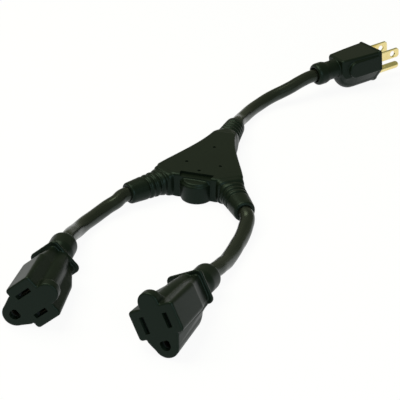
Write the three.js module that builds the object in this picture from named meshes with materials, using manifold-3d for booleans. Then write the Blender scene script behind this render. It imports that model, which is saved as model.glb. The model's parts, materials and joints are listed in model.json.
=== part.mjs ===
// Power cord splitter: a grounded plug on a short cord, a flat moulded junction, and two short cords
// that each end in a grounded socket. Lengths are in millimetres and +Z is up from the table.
import * as THREE from 'three';
import { mergeVertices } from 'three/addons/utils/BufferGeometryUtils.js';
import Module from 'manifold-3d';

const wasm = await Module();
wasm.setup();

// Pin pattern of the grounded plug and socket, measured from the middle between the two flat blades
const bladeOffset = 6.35;
const groundDrop = 11.9;
const bladeThickness = 1.52;
const lineBladeWidth = 6.35;
const neutralBladeWidth = 7.9;
const bladeLength = 17;
const bladeHoleDiameter = 3.9;
const bladeHoleDistance = 11.8;
const pinDiameter = 4.75;
const pinLength = 21.2;

// Cord, its three insulated wires, and the gap left between pieces that touch
const cordDiameter = 8.3;
const cordSides = 12;
const wireDiameter = 2.5;
const wireSides = 6;
const gap = 0.3;
const wirePitch = wireDiameter + gap;
const chamfer = 0.6;

// Socket: its face is two ears with a round lobe above and the ground lobe below
const earHalfWidth = 12.4;
const earTop = 8.2;
const earBottom = -7.2;
const earLength = 24.4;
const topLobeHalfWidth = 5;
const topLobeHeight = 15.2;
const groundLobeTopHalfWidth = 8.3;
const groundLobeRadius = 5;
const groundLobeBottom = -18.4;
const keelTaper = 2.2;
const waistHalfWidth = 8.2;
const waistStart = 35;
const flangeHalfWidth = 10;
const flangeHalfHeight = 9.1;
const flangeThickness = 2;
const socketNeckLength = 8;
const socketCollarLength = 12.5;
const socketCordDrop = 1.6;
const slotWidth = 2.5;
const neutralSlotLength = 8.8;
const lineSlotLength = 7.7;
const groundHoleWidth = 5.2;
const faceWall = 3;
const carrierLength = 17;
const carrierHalfWidth = 9.6;
const carrierHalfHeight = 5.6;

// Round collar at each cord entry, with a hollow mouth
const collarDiameter = 15.5;
const neckDiameter = 12.6;
const mouthDiameter = 12.2;
const mouthDepth = 4;
const cordSeatDepth = 13;
const cordStraight = 4;

// Contacts: a strip folded into two leaves, with a barrel for the wire behind
const leafThickness = 0.5;
const leafOpening = 1.2;
const lipFlare = 0.35;
const contactLength = 11;
const barrelDiameter = 3;
const barrelLength = 4;

// Plug body: a shield outline with a flat top, side grips and the same collar behind
const plugHalfWidth = 11.6;
const plugTop = 7;
const plugSideBottom = -7;
const plugBottom = -17;
const plugLobeRadius = 5.6;
const plugLength = 30;
const plugRearHalfWidth = 8.2;
const facePlateThickness = 2;
const facePlateStep = 0.6;
const gripLength = 25;
const gripHalfHeight = 5.6;
const gripCentre = -1.2;
const plugNeckLength = 7.5;
const plugCollarLength = 10.5;
const plugCordDrop = 0.7;
const bridgeLength = 10;
const bridgeHalfWidth = 9.2;
const bridgeHalfHeight = 4.8;

// Junction: its three necks meet in a flat body, with a round boss at the crotch
const junctionHeight = 15;
const junctionEdge = 1.2;
const legAngle = THREE.MathUtils.degToRad(35);
const legSpread = 34;
const legReach = 20;
const legNeckLength = 25;
const legFirstGroove = 1.4;
const trunkReach = 79;
const trunkNeckLength = 23;
const trunkFirstGroove = 5.6;
const neckRootDiameter = 13.4;
const neckEndDiameter = 10.6;
const neckShoulder = 0.25;
const junctionCordHeight = 7.4;
const legRootInset = 4;
const crotchDepth = 1.5;
const bossRadius = 8.6;
const bossHeight = 12.4;
const bossLip = 1.1;
const recessDepth = 0.9;
const grooveWidth = 1.5;
const grooveDepth = 0.7;
const groovePitch = 3.6;
const grooveCount = 4;
const dimpleDiameter = 1.7;
const dimpleDepth = 1.2;
const dimpleReach = 10;
const spliceDiameter = 6.4;
const spliceWireRise = 1.75;
const spliceLength = 11;
const splicePitch = 7.5;
const spliceCentre = 26;

// Places on the table: the direction that each piece points in, and where its origin stands
const plugPlace = { x: 115.2, y: 163.1, heading: 30.3, pitch: 4, roll: 3.5 };
const junctionPlace = { x: -1.9, y: 3, turn: -17.5 };
const leftPlace = { x: -79.6, y: -122.9, heading: -10.7, roll: -50.3 };
const rightPlace = { x: -20.3, y: -143.6, heading: -23.9, roll: 27.9 };

// Colours
const blackVinyl = { color: 0x1d211e, roughness: 0.55, metalness: 0 };
const blackJacket = { color: 0x1f221f, roughness: 0.42, metalness: 0 };
const darkNylon = { color: 0x2c2f2e, roughness: 0.6, metalness: 0 };
const brass = { color: 0xe2c878, roughness: 0.28, metalness: 1 };
const tinnedCopper = { color: 0xb9b6ac, roughness: 0.4, metalness: 1 };
const lineInsulation = { color: 0x26292a, roughness: 0.5, metalness: 0 };
const neutralInsulation = { color: 0xdcdad2, roughness: 0.5, metalness: 0 };
const groundInsulation = { color: 0x2f7a45, roughness: 0.5, metalness: 0 };

/** Turns a closed geometry into a solid that can be joined and cut. */
function solid(geometry) {
  const bare = geometry.clone();
  bare.deleteAttribute('normal');
  bare.deleteAttribute('uv');
  const merged = mergeVertices(bare, 1e-4);
  const triangles = new Uint32Array(merged.index.array);
  const vertices = new Float32Array(merged.attributes.position.array);
  return new wasm.Manifold(new wasm.Mesh({ numProp: 3, vertProperties: vertices, triVerts: triangles }));
}

/** Turns a solid back into a geometry. */
function toGeometry(shape) {
  const data = shape.getMesh();
  const geometry = new THREE.BufferGeometry();
  geometry.setAttribute('position', new THREE.BufferAttribute(new Float32Array(data.vertProperties), 3));
  geometry.setIndex(new THREE.BufferAttribute(new Uint32Array(data.triVerts), 1));
  geometry.computeVertexNormals();
  return geometry;
}

/** Joins several solids into one. */
function join(...shapes) {
  return shapes.reduce((whole, shape) => whole.add(shape));
}

/** Cuts several solids out of one. */
function cut(whole, ...shapes) {
  return shapes.reduce((left, shape) => left.subtract(shape), whole);
}

/** A named mesh with its own material. */
function piece(name, shape, look) {
  const geometry = shape.isBufferGeometry ? shape : toGeometry(shape);
  const mesh = new THREE.Mesh(geometry, new THREE.MeshStandardMaterial(look));
  mesh.name = name;
  return mesh;
}

/** A closed skin over outlines that all have the same number of points, from the back to the front. */
function loft(stations) {
  const count = stations[0].outline.length;
  const positions = [];
  const index = [];
  stations.forEach(({ z, outline }) => outline.forEach((p) => positions.push(p.x, p.y, z)));
  for (let ring = 0; ring + 1 < stations.length; ring += 1) {
    for (let k = 0; k < count; k += 1) {
      const a = ring * count + k;
      const b = ring * count + (k + 1) % count;
      index.push(a, b, a + count, b, b + count, a + count);
    }
  }
  const last = (stations.length - 1) * count;
  const back = THREE.ShapeUtils.triangulateShape(stations[0].outline, []);
  const front = THREE.ShapeUtils.triangulateShape(stations[stations.length - 1].outline, []);
  back.forEach(([a, b, c]) => index.push(a, c, b));
  front.forEach(([a, b, c]) => index.push(last + a, last + b, last + c));
  const geometry = new THREE.BufferGeometry();
  geometry.setAttribute('position', new THREE.Float32BufferAttribute(positions, 3));
  geometry.setIndex(index);
  return geometry;
}

/** Points of a corner's arc, counter-clockwise from one angle to another, in degrees. */
function corner(cx, cy, radius, from, to, steps = 3) {
  const points = [];
  for (let k = 0; k <= steps; k += 1) {
    const angle = THREE.MathUtils.degToRad(from + (to - from) * k / steps);
    points.push(new THREE.Vector2(cx + radius * Math.cos(angle), cy + radius * Math.sin(angle)));
  }
  return points;
}

/** A rectangle with round corners, symmetric about x = 0. */
function roundedRectangle(halfWidth, bottom, top, radius, steps = 3) {
  return [
    ...corner(halfWidth - radius, bottom + radius, radius, -90, 0, steps),
    ...corner(halfWidth - radius, top - radius, radius, 0, 90, steps),
    ...corner(-halfWidth + radius, top - radius, radius, 90, 180, steps),
    ...corner(-halfWidth + radius, bottom + radius, radius, 180, 270, steps),
  ];
}

/** An upright lobe with a half-round top. */
function topLobe(halfWidth, top) {
  return [
    new THREE.Vector2(-halfWidth, 0),
    new THREE.Vector2(halfWidth, 0),
    ...corner(0, top - halfWidth, halfWidth, 0, 180, 8),
  ];
}

/** A lobe that narrows downwards to a round end. */
function lowerLobe(halfWidth, shoulder, radius, bottom) {
  const centre = bottom + radius;
  return [
    new THREE.Vector2(halfWidth, 0),
    new THREE.Vector2(-halfWidth, 0),
    new THREE.Vector2(-halfWidth, shoulder),
    ...corner(0, centre, radius, 195, 345, 8),
    new THREE.Vector2(halfWidth, shoulder),
  ];
}

/** A solid of one outline between two heights. */
function prism(outline, from, to) {
  return solid(loft([{ z: from, outline }, { z: to, outline }]));
}

/** A solid of revolution about Z from pairs of radius and height, listed upwards. */
function turned(profile, sides = 24) {
  const points = [[0, profile[0][1]], ...profile, [0, profile[profile.length - 1][1]]];
  const geometry = new THREE.LatheGeometry(points.map(([r, z]) => new THREE.Vector2(r, z)), sides);
  geometry.rotateX(Math.PI / 2);
  return solid(geometry);
}

/** A tube with flat closed ends along a curve. */
function tube(curve, diameter, sides, steps) {
  const section = new THREE.Shape(corner(0, 0, diameter / 2, 0, 360 - 360 / sides, sides - 1));
  return new THREE.ExtrudeGeometry(section, { steps, bevelEnabled: false, extrudePath: curve });
}

/** A straight bore or rod between two points. */
function rod(from, to, diameter, sides = 16) {
  return solid(tube(new THREE.LineCurve3(from, to), diameter, sides, 1));
}

/** A smooth wire that leaves one end and enters the other in the given directions. */
function wireCurve(start, startDirection, end, endDirection, reach) {
  const near = start.clone().addScaledVector(startDirection, reach);
  const far = end.clone().addScaledVector(endDirection, -reach);
  return new THREE.CubicBezierCurve3(start, near, far, end);
}

/** Places of the three wires around a cord's axis: line, neutral and ground. */
function wireSeats(side) {
  const radius = wirePitch / Math.sqrt(3);
  return {
    line: new THREE.Vector2(-side * radius * Math.cos(Math.PI / 6), radius / 2),
    neutral: new THREE.Vector2(side * radius * Math.cos(Math.PI / 6), radius / 2),
    ground: new THREE.Vector2(0, -radius),
  };
}

const insulation = { line: lineInsulation, neutral: neutralInsulation, ground: groundInsulation };

/** Neck, round collar and hollow mouth behind a body, about the cord's axis, and the cord's bore. */
function cordEntry(start, neckLength, collarLength) {
  const end = start - neckLength - collarLength;
  const full = collarDiameter / 2;
  const neck = neckDiameter / 2;
  const mouth = mouthDiameter / 2;
  const rounding = 2.4;
  const outer = turned([
    [full - rounding, end],
    [full - rounding * 0.3, end + rounding * 0.3],
    [full, end + rounding],
    [full, end + collarLength - rounding * 1.4],
    [full - (full - neck) * 0.4, end + collarLength - rounding * 0.5],
    [neck, end + collarLength],
    [neck, start + 2],
  ]);
  const bore = cordDiameter / 2 + gap;
  const hollow = turned([
    [mouth - 0.8, end - 1],
    [mouth - 0.8, end],
    [bore + 0.4, end + mouthDepth],
    [bore, end + mouthDepth],
    [bore, end + mouthDepth + cordSeatDepth],
  ]);
  return { outer, hollow, end, seat: end + mouthDepth + cordSeatDepth - gap };
}

/** Outer form of a socket: ears, lobes, waist and flange, with the face at z = 0. */
function socketForm() {
  const rear = -waistStart - 3;
  const ears = loft([
    { z: rear, outline: roundedRectangle(waistHalfWidth, earBottom, earTop - 1.4, 2) },
    { z: -waistStart, outline: roundedRectangle(waistHalfWidth, earBottom, earTop - 1.4, 2) },
    { z: -earLength, outline: roundedRectangle(earHalfWidth, earBottom, earTop, 1.6) },
    { z: -chamfer, outline: roundedRectangle(earHalfWidth, earBottom, earTop, 1.6) },
    { z: 0, outline: roundedRectangle(earHalfWidth - chamfer, earBottom + chamfer, earTop - chamfer, 1.2) },
  ]);
  const crest = loft([
    { z: rear, outline: topLobe(topLobeHalfWidth - 0.5, earTop) },
    { z: -earLength - 2, outline: topLobe(topLobeHalfWidth, earTop + 2) },
    { z: -8, outline: topLobe(topLobeHalfWidth, earTop + 2.4) },
    { z: -2.6, outline: topLobe(topLobeHalfWidth, topLobeHeight) },
    { z: -chamfer, outline: topLobe(topLobeHalfWidth, topLobeHeight) },
    { z: 0, outline: topLobe(topLobeHalfWidth - chamfer, topLobeHeight - chamfer) },
  ]);
  const keelRise = [[-1, 0.98], [0.5, 0.72], [3.2, 0.42], [6, 0.16], [9, 0.03], [12, 0]];
  const keelBottom = groundLobeBottom + keelTaper;
  const keelDepth = earBottom - keelBottom;
  const keel = loft([
    ...keelRise.map(([forward, rise]) => ({
      z: -waistStart + 1 + forward,
      outline: lowerLobe(groundLobeTopHalfWidth, earBottom - 1.4 * (1 - rise),
        groundLobeRadius, keelBottom + keelDepth * rise * 0.9),
    })),
    { z: -chamfer, outline: lowerLobe(groundLobeTopHalfWidth, earBottom - 1.4, groundLobeRadius, groundLobeBottom) },
    {
      z: 0,
      outline: lowerLobe(groundLobeTopHalfWidth - chamfer, earBottom - 1.4,
        groundLobeRadius - chamfer, groundLobeBottom + chamfer),
    },
  ]);
  const flangeFront = rear + 0.6;
  const flange = loft([
    { z: flangeFront - flangeThickness, outline: roundedRectangle(flangeHalfWidth - 0.4, -flangeHalfHeight + 0.4, flangeHalfHeight - 0.4, 2.6) },
    { z: flangeFront - flangeThickness + 0.4, outline: roundedRectangle(flangeHalfWidth, -flangeHalfHeight, flangeHalfHeight, 3) },
    { z: flangeFront - 0.4, outline: roundedRectangle(flangeHalfWidth, -flangeHalfHeight, flangeHalfHeight, 3) },
    { z: flangeFront, outline: roundedRectangle(flangeHalfWidth - 0.4, -flangeHalfHeight + 0.4, flangeHalfHeight - 0.4, 2.6) },
  ]);
  return { form: join(solid(ears), solid(crest), solid(keel), solid(flange)), rear: flangeFront - flangeThickness };
}

/** Outline of the block that carries the contacts, grown all round by a margin. */
function carrierSolids(grow, from, to) {
  const bar = roundedRectangle(carrierHalfWidth + grow, -carrierHalfHeight - grow, carrierHalfHeight + grow, 1 + grow);
  const lobe = lowerLobe(carrierLobe + grow, -groundDrop + 0.5, carrierLobe + grow, -groundDrop - carrierLobe - grow);
  return join(prism(bar, from, to), prism(lobe, from, to));
}
const carrierLobe = groundHoleWidth / 2 + 1.7;

/** Slot or hole of one contact, between two depths. */
function contactWays(from, to, grow = 0) {
  const slot = (x, length) => prism(
    roundedRectangle(slotWidth / 2 + grow, -length / 2 - grow, length / 2 + grow, 0.3, 1).map((p) => new THREE.Vector2(p.x + x, p.y)),
    from, to);
  const half = groundHoleWidth / 2 + grow;
  const hole = [
    ...corner(0, -groundDrop, half, 180, 360, 10),
    ...corner(half - 0.9, -groundDrop + half - 0.9, 0.9, 0, 90, 2),
    ...corner(-half + 0.9, -groundDrop + half - 0.9, 0.9, 90, 180, 2),
  ];
  return [slot(-bladeOffset, neutralSlotLength), slot(bladeOffset, lineSlotLength), prism(hole, from, to)];
}

/** Two-leaf contact for a flat blade: its folded section in x and z, as high as the blade is wide. */
function leafContact(x, height, front) {
  const inner = leafOpening / 2;
  const outer = inner + leafThickness;
  const back = front - contactLength;
  const section = new THREE.Shape([
    new THREE.Vector2(outer + lipFlare, front),
    new THREE.Vector2(outer, front - 2),
    new THREE.Vector2(outer, back),
    new THREE.Vector2(-outer, back),
    new THREE.Vector2(-outer, front - 2),
    new THREE.Vector2(-outer - lipFlare, front),
    new THREE.Vector2(-inner - lipFlare, front),
    new THREE.Vector2(-inner, front - 2),
    new THREE.Vector2(-inner, back + leafThickness),
    new THREE.Vector2(inner, back + leafThickness),
    new THREE.Vector2(inner, front - 2),
    new THREE.Vector2(inner + lipFlare, front),
  ]);
  const folded = new THREE.ExtrudeGeometry(section, { depth: height, bevelEnabled: false });
  folded.rotateX(Math.PI / 2);
  folded.translate(x, height / 2, 0);
  const barrel = rod(new THREE.Vector3(x, 0, back + leafThickness / 2), new THREE.Vector3(x, 0, back - barrelLength), barrelDiameter, 10);
  return join(solid(folded), barrel);
}

/** Sleeve contact for the round ground pin, slit along its length so that it can spring. */
function sleeveContact(front) {
  const back = front - contactLength;
  const outer = pinDiameter / 2 + 0.35;
  const place = (shape) => shape.translate([0, -groundDrop, 0]);
  const body = turned([[outer, back], [outer, front]], 16);
  const bore = turned([[outer - leafThickness, back + 1.2], [outer - leafThickness, front + 1]], 16);
  const slit = prism(roundedRectangle(0.35, 0, outer + 1, 0.1, 1), back + 2.4, front + 1);
  const barrel = turned([[barrelDiameter / 2, back - barrelLength], [barrelDiameter / 2, back + 0.5]], 10);
  return place(join(cut(body, bore, slit), barrel));
}

/** Wires from the backs of contacts or blades to the cord's cut end. */
function innerWires(prefix, starts, seat, drop, side) {
  const seats = wireSeats(side);
  const back = new THREE.Vector3(0, 0, -1);
  return Object.entries(starts).map(([kind, start]) => {
    const end = new THREE.Vector3(seats[kind].x, seats[kind].y - drop, seat + gap);
    const reach = (start.z - end.z) * 0.45;
    const curve = wireCurve(start, back, end, back, reach);
    return { kind, curve, mesh: piece(`${prefix}_${kind}_wire`, tube(curve, wireDiameter, wireSides, 6), insulation[kind]) };
  });
}

/** A whole socket in its own frame: x to a viewer's right, y up, and z out of the face. */
function socket(prefix) {
  const { form, rear } = socketForm();
  const entry = cordEntry(rear, socketNeckLength, socketCollarLength);
  const lower = (shape) => shape.translate([0, -socketCordDrop, 0]);
  const carrierFront = -faceWall - gap;
  const carrierBack = carrierFront - carrierLength;
  const contactFront = carrierFront - 0.6;
  const contactBack = contactFront - contactLength - barrelLength;
  const starts = {
    line: new THREE.Vector3(bladeOffset, 0, contactBack - gap),
    neutral: new THREE.Vector3(-bladeOffset, 0, contactBack - gap),
    ground: new THREE.Vector3(0, -groundDrop, contactBack - gap),
  };
  const wires = innerWires(prefix, starts, entry.seat, socketCordDrop, -1);
  const wireWays = wires.map(({ curve }) => solid(tube(curve, wireDiameter + 2 * gap, wireSides, 6)));
  const body = cut(
    join(form, lower(entry.outer)),
    lower(entry.hollow),
    carrierSolids(gap, carrierBack - gap, -faceWall),
    ...contactWays(carrierFront, 1),
    ...wireWays,
  );
  const pocket = (x, height) => prism(
    roundedRectangle(leafOpening / 2 + leafThickness + lipFlare + gap, -height / 2 - gap, height / 2 + gap, 0.3, 1)
      .map((p) => new THREE.Vector2(p.x + x, p.y)),
    contactFront - contactLength - gap, contactFront + gap);
  const barrelWay = (x, y) => rod(new THREE.Vector3(x, y, contactFront - contactLength), new THREE.Vector3(x, y, carrierBack - 1),
    barrelDiameter + 2 * gap, 10);
  const sleeveWay = turned([
    [pinDiameter / 2 + 0.35 + gap, contactFront - contactLength - gap],
    [pinDiameter / 2 + 0.35 + gap, contactFront + gap],
  ], 16).translate([0, -groundDrop, 0]);
  const carrier = cut(
    carrierSolids(0, carrierBack, carrierFront),
    ...contactWays(contactFront - 1, carrierFront + 1),
    pocket(-bladeOffset, neutralBladeWidth),
    pocket(bladeOffset, lineBladeWidth),
    sleeveWay,
    barrelWay(-bladeOffset, 0),
    barrelWay(bladeOffset, 0),
    barrelWay(0, -groundDrop),
    ...wireWays,
  );
  const group = new THREE.Group();
  group.add(
    piece(`${prefix}_body`, body, blackVinyl),
    piece(`${prefix}_contact_carrier`, carrier, darkNylon),
    piece(`${prefix}_line_contact`, leafContact(bladeOffset, lineBladeWidth, contactFront), brass),
    piece(`${prefix}_neutral_contact`, leafContact(-bladeOffset, neutralBladeWidth, contactFront), brass),
    piece(`${prefix}_ground_contact`, sleeveContact(contactFront), brass),
    ...wires.map(({ mesh }) => mesh),
  );
  return { group, entry };
}

/** How far an outline reaches below its own origin when it is rolled by an angle. */
function reachBelow(outline, angle) {
  return -Math.min(...outline.map((p) => p.x * Math.sin(angle) + p.y * Math.cos(angle)));
}

/** Tilt of a rolled socket that lies on its face's lowest point and on its flange or its collar. */
function restTilt(angle, entry) {
  const face = reachBelow([
    ...roundedRectangle(earHalfWidth, earBottom, earTop, 1.6),
    ...lowerLobe(groundLobeTopHalfWidth, earBottom, groundLobeRadius, groundLobeBottom),
  ], angle);
  const flange = reachBelow(roundedRectangle(flangeHalfWidth, -flangeHalfHeight, flangeHalfHeight, 3), angle);
  const collar = collarDiameter / 2 + socketCordDrop * Math.cos(angle);
  const collarCentre = -entry.end - socketCollarLength / 2;
  return Math.asin(Math.min((face - flange) / (waistStart + 4), (face - collar) / collarCentre));
}

/** Sets a group's turn from its three axes. */
function turnTo(group, x, y, z) {
  group.quaternion.setFromRotationMatrix(new THREE.Matrix4().makeBasis(x, y, z));
}

/** Lowers or lifts a group until its lowest point lies on the table. */
function layDown(group) {
  group.updateMatrixWorld(true);
  group.position.z -= new THREE.Box3().setFromObject(group, true).min.z;
  group.updateMatrixWorld(true);
}

/** Places a socket: heading turns its face, tilt lifts it and roll leans it to its right. */
function placeSocket({ group, entry }, place) {
  const heading = THREE.MathUtils.degToRad(place.heading);
  const roll = THREE.MathUtils.degToRad(place.roll);
  const tilt = restTilt(roll, entry);
  const ahead = new THREE.Vector3(Math.sin(heading), -Math.cos(heading), 0);
  const right = new THREE.Vector3(Math.cos(heading), Math.sin(heading), 0);
  const up = new THREE.Vector3(0, 0, 1);
  const z = ahead.clone().multiplyScalar(Math.cos(tilt)).addScaledVector(up, Math.sin(tilt));
  const level = ahead.clone().multiplyScalar(-Math.sin(tilt)).addScaledVector(up, Math.cos(tilt));
  const x = right.clone().multiplyScalar(Math.cos(roll)).addScaledVector(level, Math.sin(roll));
  const y = right.clone().multiplyScalar(-Math.sin(roll)).addScaledVector(level, Math.cos(roll));
  turnTo(group, x, y, z);
  group.position.set(place.x, place.y, 0);
  layDown(group);
}

/** Shield outline of the plug: flat top, upright sides and a round lower lobe around the ground pin. */
function shield(halfWidth, top, sideBottom, bottom, inset = 0) {
  const radius = plugLobeRadius - inset;
  return [
    ...corner(halfWidth - inset - 1.2, sideBottom + 1.2, 1.2, -30, 0, 1),
    ...corner(halfWidth - inset - 1.2, top - inset - 1.2, 1.2, 0, 90, 3),
    ...corner(-halfWidth + inset + 1.2, top - inset - 1.2, 1.2, 90, 180, 3),
    ...corner(-halfWidth + inset + 1.2, sideBottom + 1.2, 1.2, 180, 210, 1),
    ...corner(0, bottom + inset + radius, radius, 200, 340, 8),
  ];
}

/** Outer form of the plug behind its face at z = 0. */
function plugForm() {
  const plate = loft([
    { z: -facePlateThickness, outline: shield(plugHalfWidth, plugTop, plugSideBottom, plugBottom) },
    { z: -0.5, outline: shield(plugHalfWidth, plugTop, plugSideBottom, plugBottom) },
    { z: 0, outline: shield(plugHalfWidth, plugTop, plugSideBottom, plugBottom, 0.5) },
  ]);
  const inner = plugHalfWidth - facePlateStep;
  const low = plugBottom + facePlateStep;
  const taper = (back) => inner - (inner - plugRearHalfWidth) * (back / plugLength) ** 1.6;
  const rise = [[0, 9.5], [1, 6.2], [3, 3.4], [6, 1.1], [9, 0.2], [12, 0]];
  const hull = loft([
    ...rise.map(([forward, lift]) => ({
      z: -plugLength + forward,
      outline: shield(taper(plugLength - forward), plugTop - facePlateStep * 0.5, plugSideBottom + Math.max(0, lift - 3.5), low + lift),
    })),
    { z: -1, outline: shield(taper(1), plugTop - facePlateStep * 0.5, plugSideBottom, low) },
  ]);
  const gripOutline = [
    new THREE.Vector2(-1, gripCentre - gripHalfHeight),
    new THREE.Vector2(-1, gripCentre + gripHalfHeight),
    ...corner(-gripLength + gripHalfHeight, gripCentre, gripHalfHeight, 90, 270, 8),
  ];
  const grips = new THREE.ExtrudeGeometry(new THREE.Shape(gripOutline), { depth: 2 * plugHalfWidth - 1.4, bevelEnabled: true,
    bevelThickness: 0.5, bevelSize: 0.5, bevelSegments: 1, bevelOffset: -0.5 });
  grips.translate(0, 0, -plugHalfWidth + 0.7);
  grips.rotateY(-Math.PI / 2);
  return join(solid(plate), solid(hull), solid(grips));
}

/** Flat blade with a round hole and eased edges, from inside the body out to its tip. */
function blade(x, width, tail) {
  const half = width / 2;
  const tip = 1.3;
  const outline = new THREE.Shape([
    new THREE.Vector2(-half, tail),
    new THREE.Vector2(half, tail),
    new THREE.Vector2(half, bladeLength - tip),
    new THREE.Vector2(half - tip, bladeLength),
    new THREE.Vector2(-half + tip, bladeLength),
    new THREE.Vector2(-half, bladeLength - tip),
  ]);
  outline.holes.push(new THREE.Path(corner(0, bladeHoleDistance, bladeHoleDiameter / 2, 360, 22.5, 15)));
  const ease = 0.25;
  const geometry = new THREE.ExtrudeGeometry(outline, { depth: bladeThickness - 2 * ease, bevelEnabled: true,
    bevelThickness: ease, bevelSize: ease, bevelSegments: 1, bevelOffset: -ease });
  geometry.translate(0, 0, -bladeThickness / 2 + ease);
  geometry.rotateX(Math.PI / 2);
  geometry.rotateZ(Math.PI / 2);
  geometry.translate(x, 0, 0);
  const barrel = rod(new THREE.Vector3(x, 0, tail + 1), new THREE.Vector3(x, 0, tail - barrelLength), barrelDiameter, 10);
  return join(solid(geometry), barrel);
}

/** Round ground pin with a domed tip. */
function groundPin(tail) {
  const r = pinDiameter / 2;
  const dome = [15, 35, 55, 75].map((a) => THREE.MathUtils.degToRad(a));
  return turned([
    [barrelDiameter / 2, tail - barrelLength],
    [barrelDiameter / 2, tail],
    [r, tail],
    [r, pinLength - r],
    ...dome.map((a) => [r * Math.cos(a), pinLength - r + r * Math.sin(a)]),
  ], 20).translate([0, -groundDrop, 0]);
}

/** Block inside the plug that holds the blades and the pin in place. */
function bridgeSolids(grow, from, to) {
  const bar = roundedRectangle(bridgeHalfWidth + grow, -bridgeHalfHeight - grow, bridgeHalfHeight + grow, 1 + grow);
  const lobe = lowerLobe(pinDiameter / 2 + 1.6 + grow, -groundDrop + 0.5, pinDiameter / 2 + 1.6 + grow,
    -groundDrop - pinDiameter / 2 - 1.6 - grow);
  return join(prism(bar, from, to), prism(lobe, from, to));
}

/** The whole plug in its own frame: z along the blades, y up and x to its left. */
function plug() {
  const entry = cordEntry(-plugLength, plugNeckLength, plugCollarLength);
  const lower = (shape) => shape.translate([0, -plugCordDrop, 0]);
  const bridgeFront = -faceWall;
  const bridgeBack = bridgeFront - bridgeLength;
  const tail = bridgeBack + 1;
  const starts = {
    line: new THREE.Vector3(-bladeOffset, 0, tail - barrelLength - gap),
    neutral: new THREE.Vector3(bladeOffset, 0, tail - barrelLength - gap),
    ground: new THREE.Vector3(0, -groundDrop, tail - barrelLength - gap),
  };
  const wires = innerWires('plug', starts, entry.seat, plugCordDrop, 1);
  const wireWays = wires.map(({ curve }) => solid(tube(curve, wireDiameter + 2 * gap, wireSides, 6)));
  const bladeWay = (x, width) => prism(
    roundedRectangle(bladeThickness / 2 + gap, -width / 2 - gap, width / 2 + gap, 0.2, 1).map((p) => new THREE.Vector2(p.x + x, p.y)),
    tail - gap, 1);
  const barrelWay = (x, y) => rod(new THREE.Vector3(x, y, tail + 1 + gap), new THREE.Vector3(x, y, tail - barrelLength - gap - 0.1),
    barrelDiameter + 2 * gap, 10);
  const pinWay = turned([[pinDiameter / 2 + gap, tail - gap], [pinDiameter / 2 + gap, 1]], 20).translate([0, -groundDrop, 0]);
  const ways = [
    bladeWay(-bladeOffset, lineBladeWidth),
    bladeWay(bladeOffset, neutralBladeWidth),
    pinWay,
    barrelWay(-bladeOffset, 0),
    barrelWay(bladeOffset, 0),
    barrelWay(0, -groundDrop),
    ...wireWays,
  ];
  const body = cut(join(plugForm(), lower(entry.outer)), lower(entry.hollow), bridgeSolids(gap, bridgeBack - gap, bridgeFront + gap), ...ways);
  const bridge = cut(bridgeSolids(0, bridgeBack, bridgeFront), ...ways);
  const group = new THREE.Group();
  group.add(
    piece('plug_body', body, blackVinyl),
    piece('plug_bridge', bridge, darkNylon),
    piece('line_blade', blade(-bladeOffset, lineBladeWidth, tail), brass),
    piece('neutral_blade', blade(bladeOffset, neutralBladeWidth, tail), brass),
    piece('ground_pin', groundPin(tail), brass),
    ...wires.map(({ mesh }) => mesh),
  );
  return { group, entry };
}

/** Places the plug flat on its lower lobe, with its blades' heading, pitch and roll. */
function placePlug({ group }, place) {
  const [heading, pitch, roll] = [place.heading, place.pitch, place.roll].map((a) => THREE.MathUtils.degToRad(a));
  const z = new THREE.Vector3(Math.cos(heading) * Math.cos(pitch), Math.sin(heading) * Math.cos(pitch), Math.sin(pitch));
  const left = new THREE.Vector3(-Math.sin(heading), Math.cos(heading), 0);
  const up = new THREE.Vector3().crossVectors(z, left);
  const x = left.clone().multiplyScalar(Math.cos(roll)).addScaledVector(up, -Math.sin(roll));
  const y = up.clone().multiplyScalar(Math.cos(roll)).addScaledVector(left, Math.sin(roll));
  turnTo(group, x, y, z);
  group.position.set(place.x, place.y, 0);
  layDown(group);
}

const legDirection = new THREE.Vector2(Math.sin(legAngle), -Math.cos(legAngle));
const legEnd = new THREE.Vector2(legSpread, -legReach);

/** Plan outline of the junction's flat body, symmetric about its long axis. */
function junctionOutline(inset) {
  const half = neckRootDiameter / 2 + neckShoulder - inset;
  const root = legEnd.clone().addScaledVector(legDirection, -legNeckLength);
  const side = new THREE.Vector2(-legDirection.y, legDirection.x);
  const outerRoot = root.clone().addScaledVector(side, half);
  const innerRoot = root.clone().addScaledVector(side, -half);
  const outerEnd = outerRoot.clone().addScaledVector(legDirection, legRootInset);
  const innerEnd = innerRoot.clone().addScaledVector(legDirection, legRootInset);
  const neckTop = trunkReach - trunkNeckLength + legRootInset;
  const neckRoot = neckTop - legRootInset;
  const flank = new THREE.CubicBezierCurve(
    outerRoot,
    new THREE.Vector2(outerRoot.x - 6, outerRoot.y + 14),
    new THREE.Vector2(half + 3, neckRoot - 17),
    new THREE.Vector2(half, neckRoot),
  );
  const right = [
    new THREE.Vector2(0, -crotchDepth + inset),
    new THREE.Vector2(bossRadius + 3, -crotchDepth - 1.2 + inset),
    innerRoot,
    innerEnd,
    outerEnd,
    ...flank.getPoints(10),
    new THREE.Vector2(half, neckTop),
  ];
  const left = right.slice(1).reverse().map((p) => new THREE.Vector2(-p.x, p.y));
  return [...right, ...left];
}

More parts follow.
